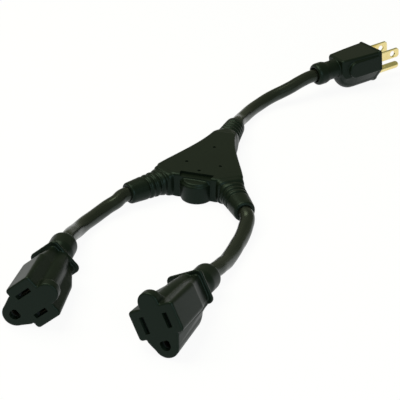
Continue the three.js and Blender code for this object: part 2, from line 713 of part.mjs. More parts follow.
/** Ribbed neck: a tapering round sleeve with shallow grooves, from its root to the cord's exit. */
function ribbedNeck(length, overlap, firstGroove) {
  const root = neckRootDiameter / 2;
  const tip = neckEndDiameter / 2;
  const radiusAt = (t) => root + (tip - root) * t;
  const profile = [[root, -overlap], [root, 0]];
  for (let k = 0; k < grooveCount; k += 1) {
    const start = firstGroove + k * groovePitch;
    const r = radiusAt((start + grooveWidth / 2) / length);
    profile.push([r + 0.02, start], [r - grooveDepth, start + 0.3], [r - grooveDepth, start + grooveWidth - 0.3], [r, start + grooveWidth]);
  }
  profile.push([tip, length - 0.8], [tip - 0.8, length]);
  return turned(profile, 24);
}

/** Turns a solid made along +Z so that it points along a plan direction at the cord's height. */
function along(shape, origin, direction) {
  const z = new THREE.Vector3(direction.x, direction.y, 0);
  const y = new THREE.Vector3(0, 0, 1);
  const x = new THREE.Vector3().crossVectors(y, z);
  const matrix = new THREE.Matrix4().makeBasis(x, y, z).setPosition(origin.x, origin.y, junctionCordHeight);
  return shape.transform(matrix.elements);
}

/** The junction in its own frame: the boss at the origin and the trunk along +Y. */
function junction() {
  const slab = solid(loft([
    { z: 0, outline: junctionOutline(junctionEdge * 0.6) },
    { z: junctionEdge * 0.6, outline: junctionOutline(0) },
    { z: junctionHeight - junctionEdge, outline: junctionOutline(0) },
    { z: junctionHeight - junctionEdge * 0.3, outline: junctionOutline(junctionEdge * 0.3) },
    { z: junctionHeight, outline: junctionOutline(junctionEdge) },
  ]));
  const boss = turned([
    [bossRadius - 0.7, 0],
    [bossRadius, 0.7],
    [bossRadius, bossHeight - 2 * bossLip],
    [bossRadius - bossLip, bossHeight - bossLip],
    [bossRadius - bossLip, bossHeight - bossLip * 0.8],
    [bossRadius - 2 * bossLip, bossHeight],
  ], 32);
  const recess = turned([[bossRadius + 0.2, junctionHeight - recessDepth], [bossRadius + 0.2, junctionHeight + 1]], 32)
    .intersect(prism(roundedRectangle(bossRadius + 2, -bossRadius - 2, crotchDepth + 0.6, 0.5), junctionHeight - 2, junctionHeight + 2));
  const trunkRoot = new THREE.Vector2(0, trunkReach - trunkNeckLength);
  const trunkDirection = new THREE.Vector2(0, 1);
  const necks = [along(ribbedNeck(trunkNeckLength, 8, trunkFirstGroove), trunkRoot, trunkDirection)];
  const exits = { trunk: { end: new THREE.Vector2(0, trunkReach), direction: trunkDirection } };
  [['left', -1], ['right', 1]].forEach(([name, side]) => {
    const direction = new THREE.Vector2(side * legDirection.x, legDirection.y);
    const end = new THREE.Vector2(side * legEnd.x, legEnd.y);
    const root = end.clone().addScaledVector(direction, -legNeckLength);
    necks.push(along(ribbedNeck(legNeckLength, 8, legFirstGroove), root, direction));
    exits[name] = { end, direction };
  });
  const dimples = [[0, dimpleReach * 3.4], [-dimpleReach, dimpleReach * 1.3], [dimpleReach, dimpleReach * 1.3], [0, dimpleReach * 0.5]]
    .map(([x, y]) => rod(new THREE.Vector3(x, y, junctionHeight - dimpleDepth), new THREE.Vector3(x, y, junctionHeight + 1), dimpleDiameter, 8));
  const bores = Object.values(exits).map(({ end, direction }) => {
    const inner = end.clone().addScaledVector(direction, -cordSeatDepth - gap);
    const outer = end.clone().addScaledVector(direction, 2);
    return rod(new THREE.Vector3(inner.x, inner.y, junctionCordHeight), new THREE.Vector3(outer.x, outer.y, junctionCordHeight),
      cordDiameter + 2 * gap, cordSides);
  });
  const splices = ['line', 'ground', 'neutral'].map((kind, k) => ({ kind, x: (k - 1) * splicePitch }));
  const spliceSolid = (x, grow) => rod(
    new THREE.Vector3(x, spliceCentre - spliceLength / 2 - grow, junctionCordHeight),
    new THREE.Vector3(x, spliceCentre + spliceLength / 2 + grow, junctionCordHeight), spliceDiameter + 2 * grow, 12);
  const curves = [];
  splices.forEach(({ kind, x }) => {
    Object.entries(exits).forEach(([name, { end, direction }]) => {
      const seat = end.clone().addScaledVector(direction, -cordSeatDepth - gap);
      const ahead = new THREE.Vector3(direction.x, direction.y, 0);
      const across = new THREE.Vector3(direction.y, -direction.x, 0);
      const order = name === 'trunk' ? x / splicePitch : -x / splicePitch;
      const radius = wirePitch / Math.sqrt(3);
      const upright = name === 'left' ? -1 : 1;
      const lift = upright * (order === 0 ? radius : -radius / 2);
      const finish = new THREE.Vector3(seat.x, seat.y, junctionCordHeight + lift).addScaledVector(across, order * wirePitch / 2);
      const level = { trunk: 0, left: 1, right: -1 }[name] * spliceWireRise;
      const out = name === 'trunk' ? 1 : -1;
      const start = new THREE.Vector3(x, spliceCentre + out * (spliceLength / 2 + gap), junctionCordHeight + level);
      const curve = wireCurve(start, new THREE.Vector3(0, out, 0), finish, ahead, start.distanceTo(finish) * 0.4);
      curves.push({ name: `junction_${name}_${kind}_wire`, kind, curve });
    });
  });
  const wireWays = curves.map(({ curve }) => solid(tube(curve, wireDiameter + 2 * gap, wireSides, 6)));
  const body = cut(join(cut(slab, recess), boss, ...necks), ...dimples, ...bores,
    ...splices.map(({ x }) => spliceSolid(x, gap)), ...wireWays);
  const group = new THREE.Group();
  group.add(
    piece('junction_body', body, blackVinyl),
    ...splices.map(({ kind, x }) => piece(`${kind}_splice`, spliceSolid(x, 0), tinnedCopper)),
    ...curves.map(({ name, kind, curve }) => piece(name, tube(curve, wireDiameter, wireSides, 6), insulation[kind])),
  );
  group.rotation.z = THREE.MathUtils.degToRad(junctionPlace.turn);
  group.position.set(junctionPlace.x, junctionPlace.y, 0);
  group.updateMatrixWorld(true);
  return { group, exits };
}

/** Routes of the three cords over the table, from the junction outwards. */
const trunkRoute = [
  [24.8, 89.4, 5.7], [26.7, 94.6, 5], [30.7, 103.5, 4.3], [35, 110.4, 4.5], [39.9, 116.4, 5.1], [44.3, 120.5, 6],
  [49.2, 124, 7.2], [54.3, 126.6, 8.6], [59.4, 129.2, 9.9], [64.6, 132, 11],
];
const leftRoute = [
  [-46.2, -12.6, 6.4], [-50.5, -16.6, 5.4], [-54.6, -21.5, 4.7], [-58.5, -27.2, 4.4], [-62.4, -33.8, 4.6],
  [-65.9, -41.8, 5.3], [-68.8, -51.6, 6.5],
];
const rightRoute = [
  [25.4, -34, 6.2], [24.4, -38.6, 5.6], [23.5, -42.4, 5.1], [22.3, -46.5, 4.7], [21.1, -50.3, 4.4],
  [19.6, -54.4, 4.3], [18.2, -58.6, 4.2], [16.7, -62.5, 4.2], [15.1, -66.6, 4.3], [13.4, -71, 4.6], [11.8, -75.4, 5],
  [10.1, -80.2, 5.6],
];

/** Points of a cord's straight end: its cut end, the place where it comes out and a little farther. */
function heldEnd(group, seat, exit) {
  const outward = exit.clone().sub(seat).normalize();
  const beyond = exit.clone().addScaledVector(outward, cordStraight);
  return [seat, exit, beyond].map((point) => group.localToWorld(point.clone()));
}

/** A cord that runs straight out of each end and follows its route between them. */
function cord(name, nearEnd, route, farEnd) {
  const points = [...nearEnd, ...route.map((p) => new THREE.Vector3(...p)), ...farEnd.toReversed()];
  const curve = new THREE.CatmullRomCurve3(points, false, 'centripetal');
  const steps = Math.round(curve.getLength() / (2 * cordDiameter));
  return piece(name, tube(curve, cordDiameter, cordSides, steps), blackJacket);
}

/** End of a cord in the junction's neck of the given name. */
function neckEnd({ group, exits }, name) {
  const { end, direction } = exits[name];
  const inner = end.clone().addScaledVector(direction, -cordSeatDepth);
  const at = (p) => new THREE.Vector3(p.x, p.y, junctionCordHeight);
  return heldEnd(group, at(inner), at(end));
}

/** End of a cord in the collar of a plug or socket whose cord axis lies a little below its middle. */
function collarEnd({ group, entry }, drop) {
  return heldEnd(group, new THREE.Vector3(0, -drop, entry.seat), new THREE.Vector3(0, -drop, entry.end));
}

const splitter = new THREE.Group();
const plugParts = plug();
placePlug(plugParts, plugPlace);
const junctionParts = junction();
const leftSocket = socket('left_socket');
placeSocket(leftSocket, leftPlace);
const rightSocket = socket('right_socket');
placeSocket(rightSocket, rightPlace);
splitter.add(plugParts.group, junctionParts.group, leftSocket.group, rightSocket.group);
const middle = new THREE.Box3().setFromObject(splitter, true).getCenter(new THREE.Vector3());
splitter.add(
  cord('trunk_cord', neckEnd(junctionParts, 'trunk'), trunkRoute, collarEnd(plugParts, plugCordDrop)),
  cord('left_cord', neckEnd(junctionParts, 'left'), leftRoute, collarEnd(leftSocket, socketCordDrop)),
  cord('right_cord', neckEnd(junctionParts, 'right'), rightRoute, collarEnd(rightSocket, socketCordDrop)),
);
splitter.position.set(-middle.x, -middle.y, 0);

export default splitter;
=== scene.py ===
"""Looks of a short power cord splitter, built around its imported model.

Lengths are in metres and +Z is up from the table, except that a moulding's own sizes and the cords' routes
are in millimetres. The splitter has four black vinyl mouldings (a plug, a
flat forked junction and two sockets), three lengths of cord, brass blades and contacts, and a few inner
pieces that show through the slots.
"""

import json
import logging
import math
from dataclasses import dataclass
from enum import Enum

import bmesh
import bpy
import numpy as np
from mathutils import Matrix, Vector

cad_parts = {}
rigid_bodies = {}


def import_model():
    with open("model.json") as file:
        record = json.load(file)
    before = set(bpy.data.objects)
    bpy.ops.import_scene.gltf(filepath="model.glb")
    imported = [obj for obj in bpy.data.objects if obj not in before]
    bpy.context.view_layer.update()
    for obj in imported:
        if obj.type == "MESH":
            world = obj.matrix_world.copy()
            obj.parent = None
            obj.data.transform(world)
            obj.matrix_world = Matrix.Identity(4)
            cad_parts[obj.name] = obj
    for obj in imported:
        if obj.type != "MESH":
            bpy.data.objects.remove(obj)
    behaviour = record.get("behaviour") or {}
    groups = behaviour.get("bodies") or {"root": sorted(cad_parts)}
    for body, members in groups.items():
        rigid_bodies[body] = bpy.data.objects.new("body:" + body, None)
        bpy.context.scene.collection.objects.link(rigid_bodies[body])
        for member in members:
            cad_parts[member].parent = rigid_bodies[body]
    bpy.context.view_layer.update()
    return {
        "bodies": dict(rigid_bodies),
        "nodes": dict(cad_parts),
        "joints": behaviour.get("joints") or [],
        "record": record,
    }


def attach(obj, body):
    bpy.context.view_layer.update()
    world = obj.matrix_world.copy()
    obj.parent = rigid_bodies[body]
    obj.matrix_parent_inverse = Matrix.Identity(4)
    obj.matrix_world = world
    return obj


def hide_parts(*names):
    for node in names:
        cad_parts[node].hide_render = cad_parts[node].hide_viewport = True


log = logging.getLogger("splitter")

MM = 0.001
BODY = "root"
PHOTO_SIDE_PX = 400
SENSOR_WIDTH = 36.0


class Slot(Enum):
    """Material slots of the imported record."""

    VINYL = "moulded_vinyl"
    JACKET = "cord_jacket"
    INSERT = "inner_plastic"
    BRASS = "brass"
    SLEEVE = "splice_sleeve"
    BLACK_WIRE = "black_wire"
    WHITE_WIRE = "white_wire"
    GREEN_WIRE = "green_wire"


def linear(hex_colour: str) -> tuple[float, float, float, float]:
    """Turns an sRGB hex colour to the linear colour that a shader takes.

    Args:
        hex_colour: six hex digits after a hash sign.

    Returns:
        Red, green, blue and an alpha of 1.
    """
    parts = [int(hex_colour[k : k + 2], 16) / 255 for k in (1, 3, 5)]
    levels = [c / 12.92 if c <= 0.04045 else ((c + 0.055) / 1.055) ** 2.4 for c in parts]
    return (*levels, 1.0)


def add_node(tree: bpy.types.NodeTree, kind: str, settings: dict | None = None,
             **sockets: object) -> bpy.types.Node:
    """Adds a shader node.

    Args:
        tree: the material's node tree.
        kind: the node's type name.
        settings: attributes of the node.
        sockets: an input's name, with underscores for spaces, and its value or the socket that feeds it.
            A name that ends in a number stands for that input's index.

    Returns:
        The new node.
    """
    node = tree.nodes.new(kind)
    for name, value in (settings or {}).items():
        setattr(node, name, value)
    for name, value in sockets.items():
        key = int(name[2:]) if name.startswith("in") and name[2:].isdigit() else name.replace("_", " ")
        if isinstance(value, bpy.types.NodeSocket):
            tree.links.new(value, node.inputs[key])
        else:
            node.inputs[key].default_value = value
    return node


@dataclass(frozen=True)
class MouldedVinyl:
    """Flexible PVC shot into a spark-eroded mould: a fine even grain, with a paler colour painted on its
    convex edges as a highlight.
    """

    name: str = "moulded_black_vinyl"
    colour: str = "#0a1009"
    # Paler colour, used both for a random mottle and for the painted highlight on convex edges.
    pale_mottle_and_edge_highlight: str = "#19211a"
    roughness: float = 0.38
    ior: float = 1.53
    specular: float = 0.14
    sheen_tint: str = "#d9fff3"
    grain: float = 0.45 * MM
    cloud: float = 14 * MM
    relief: float = 0.012 * MM

    def make(self) -> bpy.types.Material:
        """Builds the material: clouded colour, paler convex edges as a painted highlight, and the mould's
        grain as bump.

        Returns:
            The material.
        """
        material, tree, shader = new_material(self.name)
        place = add_node(tree, "ShaderNodeTexCoord").outputs["Object"]
        cloud = add_node(tree, "ShaderNodeTexNoise", Vector=place, Scale=1 / self.cloud, Detail=3.0)
        grain = add_node(tree, "ShaderNodeTexNoise", Vector=place, Scale=1 / self.grain, Detail=2.0)
        # Pointiness makes convex edges paler, which is a painted highlight. The cloud adds a real, random
        # paler mottle in the same colour.
        point = add_node(tree, "ShaderNodeNewGeometry").outputs["Pointiness"]
        edge = add_node(tree, "ShaderNodeMapRange", Value=point, From_Min=0.52, From_Max=0.62)
        tint = add_node(tree, "ShaderNodeMapRange", Value=cloud.outputs["Fac"], To_Min=0.0, To_Max=0.22)
        mottle_and_edge_highlight_mask = add_node(tree, "ShaderNodeMath", {"operation": "MAXIMUM"}, in0=edge.outputs[0],
                        in1=tint.outputs[0])
        colour = add_node(tree, "ShaderNodeMix", {"data_type": "RGBA"}, Factor=mottle_and_edge_highlight_mask.outputs[0],
                          A=linear(self.colour), B=linear(self.pale_mottle_and_edge_highlight))
        gloss = add_node(tree, "ShaderNodeMapRange", Value=cloud.outputs["Fac"], To_Min=self.roughness - 0.05,
                         To_Max=self.roughness + 0.06)
        bump = add_node(tree, "ShaderNodeBump", Height=grain.outputs["Fac"], Strength=0.6,
                        Distance=self.relief)
        feed(tree, shader, colour, gloss, bump)
        shader.inputs["IOR"].default_value = self.ior
        shader.inputs["Specular IOR Level"].default_value = self.specular
        shader.inputs["Specular Tint"].default_value = linear(self.sheen_tint)
        return material


@dataclass(frozen=True)
class ExtrudedJacket:
    """PVC drawn through a die over twisted wires: glossier than a moulding, with faint lengthwise lines."""

    name: str = "extruded_black_jacket"
    colour: str = "#0c0e0a"
    streak: str = "#161712"
    roughness: float = 0.27
    ior: float = 1.53
    specular: float = 0.36
    sheen_tint: str = "#e6ffee"
    line: float = 1.1 * MM
    relief: float = 0.02 * MM

    def make(self) -> bpy.types.Material:
        """Builds the material: die lines follow the cord through its own UV map.

        Returns:
            The material.
        """
        material, tree, shader = new_material(self.name)
        uv = add_node(tree, "ShaderNodeUVMap", {"uv_map": "along"}).outputs["UV"]
        stretch = add_node(tree, "ShaderNodeMapping", Vector=uv, Scale=(1 / self.line, 0.06 / self.line, 1.0))
        lines = add_node(tree, "ShaderNodeTexNoise", Vector=stretch.outputs[0], Scale=1.0, Detail=2.0)
        colour = add_node(tree, "ShaderNodeMix", {"data_type": "RGBA"}, Factor=lines.outputs["Fac"],
                          A=linear(self.colour), B=linear(self.streak))
        gloss = add_node(tree, "ShaderNodeMapRange", Value=lines.outputs["Fac"], To_Min=self.roughness - 0.06,
                         To_Max=self.roughness + 0.06)
        bump = add_node(tree, "ShaderNodeBump", Height=lines.outputs["Fac"], Strength=0.5,
                        Distance=self.relief)
        feed(tree, shader, colour, gloss, bump)
        shader.inputs["IOR"].default_value = self.ior
        shader.inputs["Specular IOR Level"].default_value = self.specular
        shader.inputs["Specular Tint"].default_value = linear(self.sheen_tint)
        return material


@dataclass(frozen=True)
class StampedBrass:
    """Brass strip, stamped and tumbled: bright yellow metal whose gloss varies with fine scratches."""

    name: str = "stamped_brass"
    colour: str = "#f7eaae"
    dull: str = "#e3cd86"
    roughness: float = 0.2
    scratch: float = 0.5 * MM

    def make(self) -> bpy.types.Material:
        """Builds the material: fine scratches vary the gloss, and a slow cloud varies the yellow.

        Returns:
            The material.
        """
        material, tree, shader = new_material(self.name)
        place = add_node(tree, "ShaderNodeTexCoord").outputs["Object"]
        cloud = add_node(tree, "ShaderNodeTexNoise", Vector=place, Scale=1 / (6 * MM), Detail=2.0)
        scratch = add_node(tree, "ShaderNodeTexNoise", Vector=place, Scale=1 / self.scratch, Detail=3.0)
        colour = add_node(tree, "ShaderNodeMix", {"data_type": "RGBA"}, Factor=cloud.outputs["Fac"],
                          A=linear(self.colour), B=linear(self.dull))
        gloss = add_node(tree, "ShaderNodeMapRange", Value=scratch.outputs["Fac"],
                         To_Min=self.roughness - 0.08, To_Max=self.roughness + 0.12)
        bump = add_node(tree, "ShaderNodeBump", Height=scratch.outputs["Fac"], Strength=0.25,
                        Distance=0.01 * MM)
        feed(tree, shader, colour, gloss, bump)
        shader.inputs["Metallic"].default_value = 1.0
        return material


@dataclass(frozen=True)
class SpringBrass(StampedBrass):
    """Brass of the sockets' contacts, with the shade of its slot painted into its colour: dull brown-grey
    metal.
    """

    name: str = "slot_shade_painted_brass"
    # Painted shade: both colours are brass darkened as if in the shade of its slot.
    colour: str = "#4c4735"
    dull: str = "#2e2c24"
    roughness: float = 0.5


@dataclass(frozen=True)
class PlainPlastic:
    """Moulded or extruded plastic of one colour, such as nylon inserts and wire insulation."""

    name: str
    colour: str
    roughness: float = 0.5
    metallic: float = 0.0

    def make(self) -> bpy.types.Material:
        """Builds the material with a faint mottle in its colour and gloss.

        Returns:
            The material.
        """
        material, tree, shader = new_material(self.name)
        place = add_node(tree, "ShaderNodeTexCoord").outputs["Object"]
        mottle = add_node(tree, "ShaderNodeTexNoise", Vector=place, Scale=1 / (2.5 * MM), Detail=3.0)
        base = linear(self.colour)
        colour = add_node(tree, "ShaderNodeMix", {"data_type": "RGBA"}, Factor=mottle.outputs["Fac"], A=base,
                          B=tuple(min(1.0, 1.25 * c) for c in base[:3]) + (1.0,))
        gloss = add_node(tree, "ShaderNodeMapRange", Value=mottle.outputs["Fac"],
                         To_Min=self.roughness - 0.05, To_Max=self.roughness + 0.05)
        bump = add_node(tree, "ShaderNodeBump", Height=mottle.outputs["Fac"], Strength=0.3,
                        Distance=0.02 * MM)
        feed(tree, shader, colour, gloss, bump)
        shader.inputs["Metallic"].default_value = self.metallic
        return material


def new_material(name: str) -> tuple[bpy.types.Material, bpy.types.NodeTree, bpy.types.Node]:
    """Starts a material.

    Args:
        name: the material's name.

    Returns:
        The material, its node tree and its main shader.
    """
    material = bpy.data.materials.new(name)
    material.use_nodes = True
    tree = material.node_tree
    return material, tree, tree.nodes["Principled BSDF"]


def feed(tree: bpy.types.NodeTree, shader: bpy.types.Node, colour: bpy.types.Node, gloss: bpy.types.Node,
         bump: bpy.types.Node) -> None:
    """Links colour, roughness and normal into a shader.

    Args:
        tree: the node tree.
        shader: the main shader.
        colour: a colour mix.
        gloss: a node that gives the roughness.
        bump: a bump node.
    """
    tree.links.new(colour.outputs["Result"], shader.inputs["Base Color"])
    tree.links.new(gloss.outputs[0], shader.inputs["Roughness"])
    tree.links.new(bump.outputs[0], shader.inputs["Normal"])


FINISHES = {
    Slot.VINYL: MouldedVinyl(),
    Slot.JACKET: ExtrudedJacket(),
    Slot.BRASS: StampedBrass(),
    Slot.INSERT: PlainPlastic("dark_nylon", "#2b2e2d", 0.55),
    Slot.SLEEVE: PlainPlastic("tinned_copper", "#b9b6ac", 0.35, 1.0),
    Slot.BLACK_WIRE: PlainPlastic("black_insulation", "#232526", 0.42),
    Slot.WHITE_WIRE: PlainPlastic("white_insulation", "#dcdad2", 0.42),
    Slot.GREEN_WIRE: PlainPlastic("green_insulation", "#2f7a45", 0.42),
}


class Workshop:
    """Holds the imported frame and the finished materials, and sets up each piece."""

    def __init__(self, frame: dict) -> None:
        """Makes the materials and notes which slot each node takes.

        Args:
            frame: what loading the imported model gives.
        """
        self.frame = frame
        self.materials = {slot: finish.make() for slot, finish in FINISHES.items()}
        self.slot_of = {row["node"]: Slot(row["material_slot"]) for row in frame["record"]["subparts"]}
        # Contacts' brass, with the shade of the slots painted into its colour.
        self.contact = SpringBrass().make()

    def dress(self, piece: bpy.types.Object, slot: Slot) -> None:
        """Gives a piece one of the finishes."""
        piece.data.materials.clear()
        piece.data.materials.append(self.materials[slot])

    def place(self, piece: bpy.types.Object, slot: Slot, *nodes: str) -> bpy.types.Object:
        """Finishes a new piece.

        Args:
            piece: the new piece.
            slot: its material slot.
            nodes: the nodes that it stands for.

        Returns:
            The piece.
        """
        self.dress(piece, slot)
        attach(piece, BODY)
        if nodes:
            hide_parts(*nodes)
        log.info("%s: %d faces", piece.name, len(piece.data.polygons))
        return piece

    def dress_nodes(self, replaced: set[str]) -> None:
        """Gives every node that stays in view its finish.

        Args:
            replaced: nodes that new pieces stand for.
        """
        for name, node in self.frame["nodes"].items():
            if name not in replaced:
                self.dress(node, self.slot_of[name])
                # Contacts take the brass with the slot's shade painted in.
                if name.endswith("_contact"):
                    node.data.materials[0] = self.contact


def new_object(name: str, mesh: bpy.types.Mesh) -> bpy.types.Object:
    """Links a mesh to the scene as an object at the origin.

    Args:
        name: its name.
        mesh: the mesh.

    Returns:
        The object.
    """
    piece = bpy.data.objects.new(name, mesh)
    bpy.context.scene.collection.objects.link(piece)
    return piece


def ring_faces(rings: int, around: int) -> list[list[int]]:
    """Lists the faces of closed rings of points, with a cap on the first and the last ring.

    Args:
        rings: how many rings; point j of ring i has the index i * around + j.
        around: points in a ring.

    Returns:
        Each face as a list of point indices.
    """
    i, j = np.meshgrid(np.arange(rings - 1), np.arange(around), indexing="ij")
    after = (j + 1) % around
    corners = [i * around + j, i * around + after, (i + 1) * around + after, (i + 1) * around + j]
    near_cap = list(range(around))[::-1]
    far_cap = [(rings - 1) * around + k for k in range(around)]
    return [*np.stack(corners, axis=-1).reshape(-1, 4).tolist(), near_cap, far_cap]


def arc_points(x: float, y: float, radius: float, start: float, end: float, count: int) -> np.ndarray:
    """Gives evenly spaced points of an arc: x + r cos t, y + r sin t.

    Args:
        x: x of its centre.
        y: y of its centre.
        radius: its radius.
        start: its first angle in degrees.
        end: its last angle in degrees.
        count: how many points.

    Returns:
        An array of count by 2.
    """
    turn = np.radians(np.linspace(start, end, count))
    return np.stack([x + radius * np.cos(turn), y + radius * np.sin(turn)], axis=1)


def spline(points: np.ndarray, count: int) -> np.ndarray:
    """Runs a smooth line through chosen points.

    The line is a centripetal Catmull-Rom curve: between two points it is a cubic whose knots are spaced by
    the square root of the distance between neighbours. The result is spaced evenly by its own length.

    Args:
        points: an array of chosen points.
        count: how many even points the result has.

    Returns:
        An array of count by 3.
    """
    p = np.vstack([2 * points[0] - points[1], points, 2 * points[-1] - points[-2]])
    knots = np.concatenate([[0], np.cumsum(np.sqrt(np.linalg.norm(np.diff(p, axis=0), axis=1)))])
    pieces = []
    for k in range(1, len(p) - 2):
        t0, t1, t2, t3 = knots[k - 1 : k + 3]
        t = np.linspace(t1, t2, 24, endpoint=False)[:, None]
        a1 = (t1 - t) / (t1 - t0) * p[k - 1] + (t - t0) / (t1 - t0) * p[k]
        a2 = (t2 - t) / (t2 - t1) * p[k] + (t - t1) / (t2 - t1) * p[k + 1]
        a3 = (t3 - t) / (t3 - t2) * p[k + 1] + (t - t2) / (t3 - t2) * p[k + 2]
        b1 = (t2 - t) / (t2 - t0) * a1 + (t - t0) / (t2 - t0) * a2
        b2 = (t3 - t) / (t3 - t1) * a2 + (t - t1) / (t3 - t1) * a3
        pieces.append((t2 - t) / (t2 - t1) * b1 + (t - t1) / (t2 - t1) * b2)
    line = np.vstack([*pieces, points[-1:]])
    along = np.concatenate([[0], np.cumsum(np.linalg.norm(np.diff(line, axis=0), axis=1))])
    even = np.linspace(0, along[-1], count)
    return np.stack([np.interp(even, along, line[:, k]) for k in range(3)], axis=1)


@dataclass
class Cord:
    """One length of round cord that runs from the junction into a moulding."""

    name: str
    node: str
    points: list[tuple[float, float, float]]
    shift: Vector
    diameter: float = 8.3 * MM
    around: int = 40
    step: float = 0.8 * MM
    twist_pitch: float = 60 * MM
    twist_relief: float = 0.05 * MM

    def build(self, shop: Workshop) -> set[str]:
        """The radius swells by a small wave three times around, which turns once in a pitch, as a jacket does
        over three twisted wires.

        Args:
            shop: the workshop.

        Returns:
            The node that it stands for.
        """
        route = np.array(self.points) * MM + np.array([self.shift.x, self.shift.y, 0.0])
        length = float(np.linalg.norm(np.diff(spline(route, 400), axis=0), axis=1).sum())
        path = spline(route, round(length / self.step))
        tangent = np.gradient(path, axis=0)
        tangent /= np.linalg.norm(tangent, axis=1, keepdims=True)
        side = np.cross(tangent, [0.0, 0.0, 1.0])
        side /= np.linalg.norm(side, axis=1, keepdims=True)
        up = np.cross(side, tangent)
        turn = np.linspace(0, 2 * np.pi, self.around, endpoint=False)
        run = np.linspace(0, length, len(path))
        swell = self.twist_relief * np.cos(3 * (turn[None, :] - 2 * np.pi * run[:, None] / self.twist_pitch))
        radius = self.diameter / 2 + swell - self.twist_relief
        ring = np.cos(turn)[None, :, None] * side[:, None, :] + np.sin(turn)[None, :, None] * up[:, None, :]
        surface = path[:, None, :] + radius[..., None] * ring
        mesh = bpy.data.meshes.new(self.name)
        mesh.from_pydata(surface.reshape(-1, 3).tolist(), [], ring_faces(len(path), self.around))
        mesh.update()
        self.add_uv(mesh, len(path), length)
        piece = new_object(self.name, mesh)
        mesh.shade_smooth()
        shop.place(piece, Slot.JACKET, self.node)
        return {self.node}

    def add_uv(self, mesh: bpy.types.Mesh, rings: int, length: float) -> None:
        """Maps metres around and along the cord to the UV map that the jacket's lines follow.

        Args:
            mesh: the mesh.
            rings: how many rings it has.
            length: its length.
        """
        layer = mesh.uv_layers.new(name="along")
        index = np.empty(len(mesh.loops), int)
        mesh.loops.foreach_get("vertex_index", index)
        u = (index % self.around) / self.around * np.pi * self.diameter
        v = index // self.around * length / max(1, rings - 1)
        layer.data.foreach_set("uv", np.stack([u, v], axis=1).ravel().astype(np.float32))


def rounded_rectangle(half_width: float, bottom: float, top: float, radius: float) -> np.ndarray:
    """Outlines a rectangle whose corners are quarter circles, symmetric about x = 0.

    Args:
        half_width: half its width.
        bottom: its lowest y.
        top: its highest y.
        radius: its corners' radius.

    Returns:
        64 points, counter-clockwise.
    """
    corner = np.repeat(np.arange(4), 16)
    x = np.where(corner < 2, half_width - radius, radius - half_width)
    y = np.where((corner == 0) | (corner == 3), bottom + radius, top - radius)
    quarter = np.concatenate([np.linspace(k, k + 1, 16) for k in range(-1, 3)]) * np.pi / 2
    return np.stack([x + radius * np.cos(quarter), y + radius * np.sin(quarter)], axis=1)


def lobe(half_width: float, shoulder: float, radius: float, end: float, lean: float = 15.0) -> np.ndarray:
    """Outlines a tongue that narrows from y = 0 to a round end, upwards or downwards.

    Args:
        half_width: half its width at its shoulders.
        shoulder: y of its shoulders.
        radius: its round end's radius.
        end: y of its farthest point.
        lean: how far the round end reaches round past a half circle's ends, in degrees, taken off each side.

    Returns:
        44 points.
    """
    way = math.copysign(1.0, end)
    arc = np.radians(np.linspace(lean, 180 - lean, 40))
    round_end = np.stack([radius * np.cos(arc), end - way * radius + way * radius * np.sin(arc)], axis=1)
    foot = np.array([[half_width, 0], [half_width, shoulder]])
    return np.vstack([foot, round_end, foot[::-1] * [-1, 1]])


def superellipse(half_width: np.ndarray, half_height: np.ndarray, power: np.ndarray,
                 around: int = 72) -> np.ndarray:
    """Outlines |x/a|^n + |y/b|^n = 1 for many a, b and n at once: 2 is an ellipse, 6 is nearly a rectangle.

    Args:
        half_width: a, one value a ring.
        half_height: b, one value a ring.
        power: n, one value a ring.
        around: points in a ring.

    Returns:
        An array of rings by around by 2.
    """
    turn = np.linspace(0, 2 * np.pi, around, endpoint=False)[None, :]
    c, s = np.cos(turn), np.sin(turn)
    x = half_width[:, None] * np.sign(c) * np.abs(c) ** (2 / power[:, None])
    y = half_height[:, None] * np.sign(s) * np.abs(s) ** (2 / power[:, None])
    return np.stack([x, y], axis=-1)


def loft(depths: list[float], outlines: list[np.ndarray]) -> np.ndarray:
    """Stacks outlines along z.

    Args:
        depths: z of each outline.
        outlines: outlines with the same number of points.

    Returns:
        A grid of rings by points by 3.
    """
    flat = np.stack(outlines)
    z = np.broadcast_to(np.array(depths)[:, None, None], (*flat.shape[:2], 1))
    return np.concatenate([flat, z], axis=2)


def turned(profile: list[tuple[float, float]], centre: tuple[float, float] = (0.0, 0.0),
           around: int = 72) -> np.ndarray:
    """Turns a profile of radius and height about an axis along z.

    Args:
        profile: pairs of radius and z.
        centre: x and y of the axis.
        around: points in a ring.

    Returns:
        A grid of rings by points by 3.
    """
    radius, z = np.array(profile).T
    turn = np.linspace(0, 2 * np.pi, around, endpoint=False)
    x = centre[0] + radius[:, None] * np.cos(turn)
    y = centre[1] + radius[:, None] * np.sin(turn)
    return np.stack([x, y, np.broadcast_to(z[:, None], x.shape)], axis=2)


def eased(start: float, end: float, here: np.ndarray) -> np.ndarray:
    """Rises smoothly from 0 at the start to 1 at the end, as 3 t^2 - 2 t^3."""
    t = np.clip((here - start) / (end - start), 0, 1)
    return t * t * (3 - 2 * t)


class Skin:
    """Closed grids that overlap and become one piece."""

    def __init__(self) -> None:
        """Starts with nothing."""
        self.points: list[np.ndarray] = []
        self.faces: list[list[int]] = []
        self.count = 0

    def add(self, grid: np.ndarray) -> None:
        """Adds a grid that closes round each ring, with a cap on its first and last ring.

        Args:
            grid: rings by points by 3.
        """
        rings, around, _ = grid.shape
        self.faces += [[k + self.count for k in face] for face in ring_faces(rings, around)]
        self.points.append(grid.reshape(-1, 3))
        self.count += rings * around

    def mesh(self, name: str, place: Matrix) -> bpy.types.Mesh:
        """Makes a mesh of all the grids.

        Args:
            name: the mesh's name.
            place: turn and shift of the local frame, whose lengths are millimetres.

        Returns:
            The mesh, in metres, with its faces outwards.
        """
        turn = np.array(place.to_3x3())
        points = np.vstack(self.points) * MM @ turn.T + np.array(place.translation)
        mesh = bpy.data.meshes.new(name)
        mesh.from_pydata(points.tolist(), [], self.faces)
        work = bmesh.new()
        work.from_mesh(mesh)
        bmesh.ops.recalc_face_normals(work, faces=work.faces)
        work.to_mesh(mesh)
        work.free()
        return mesh


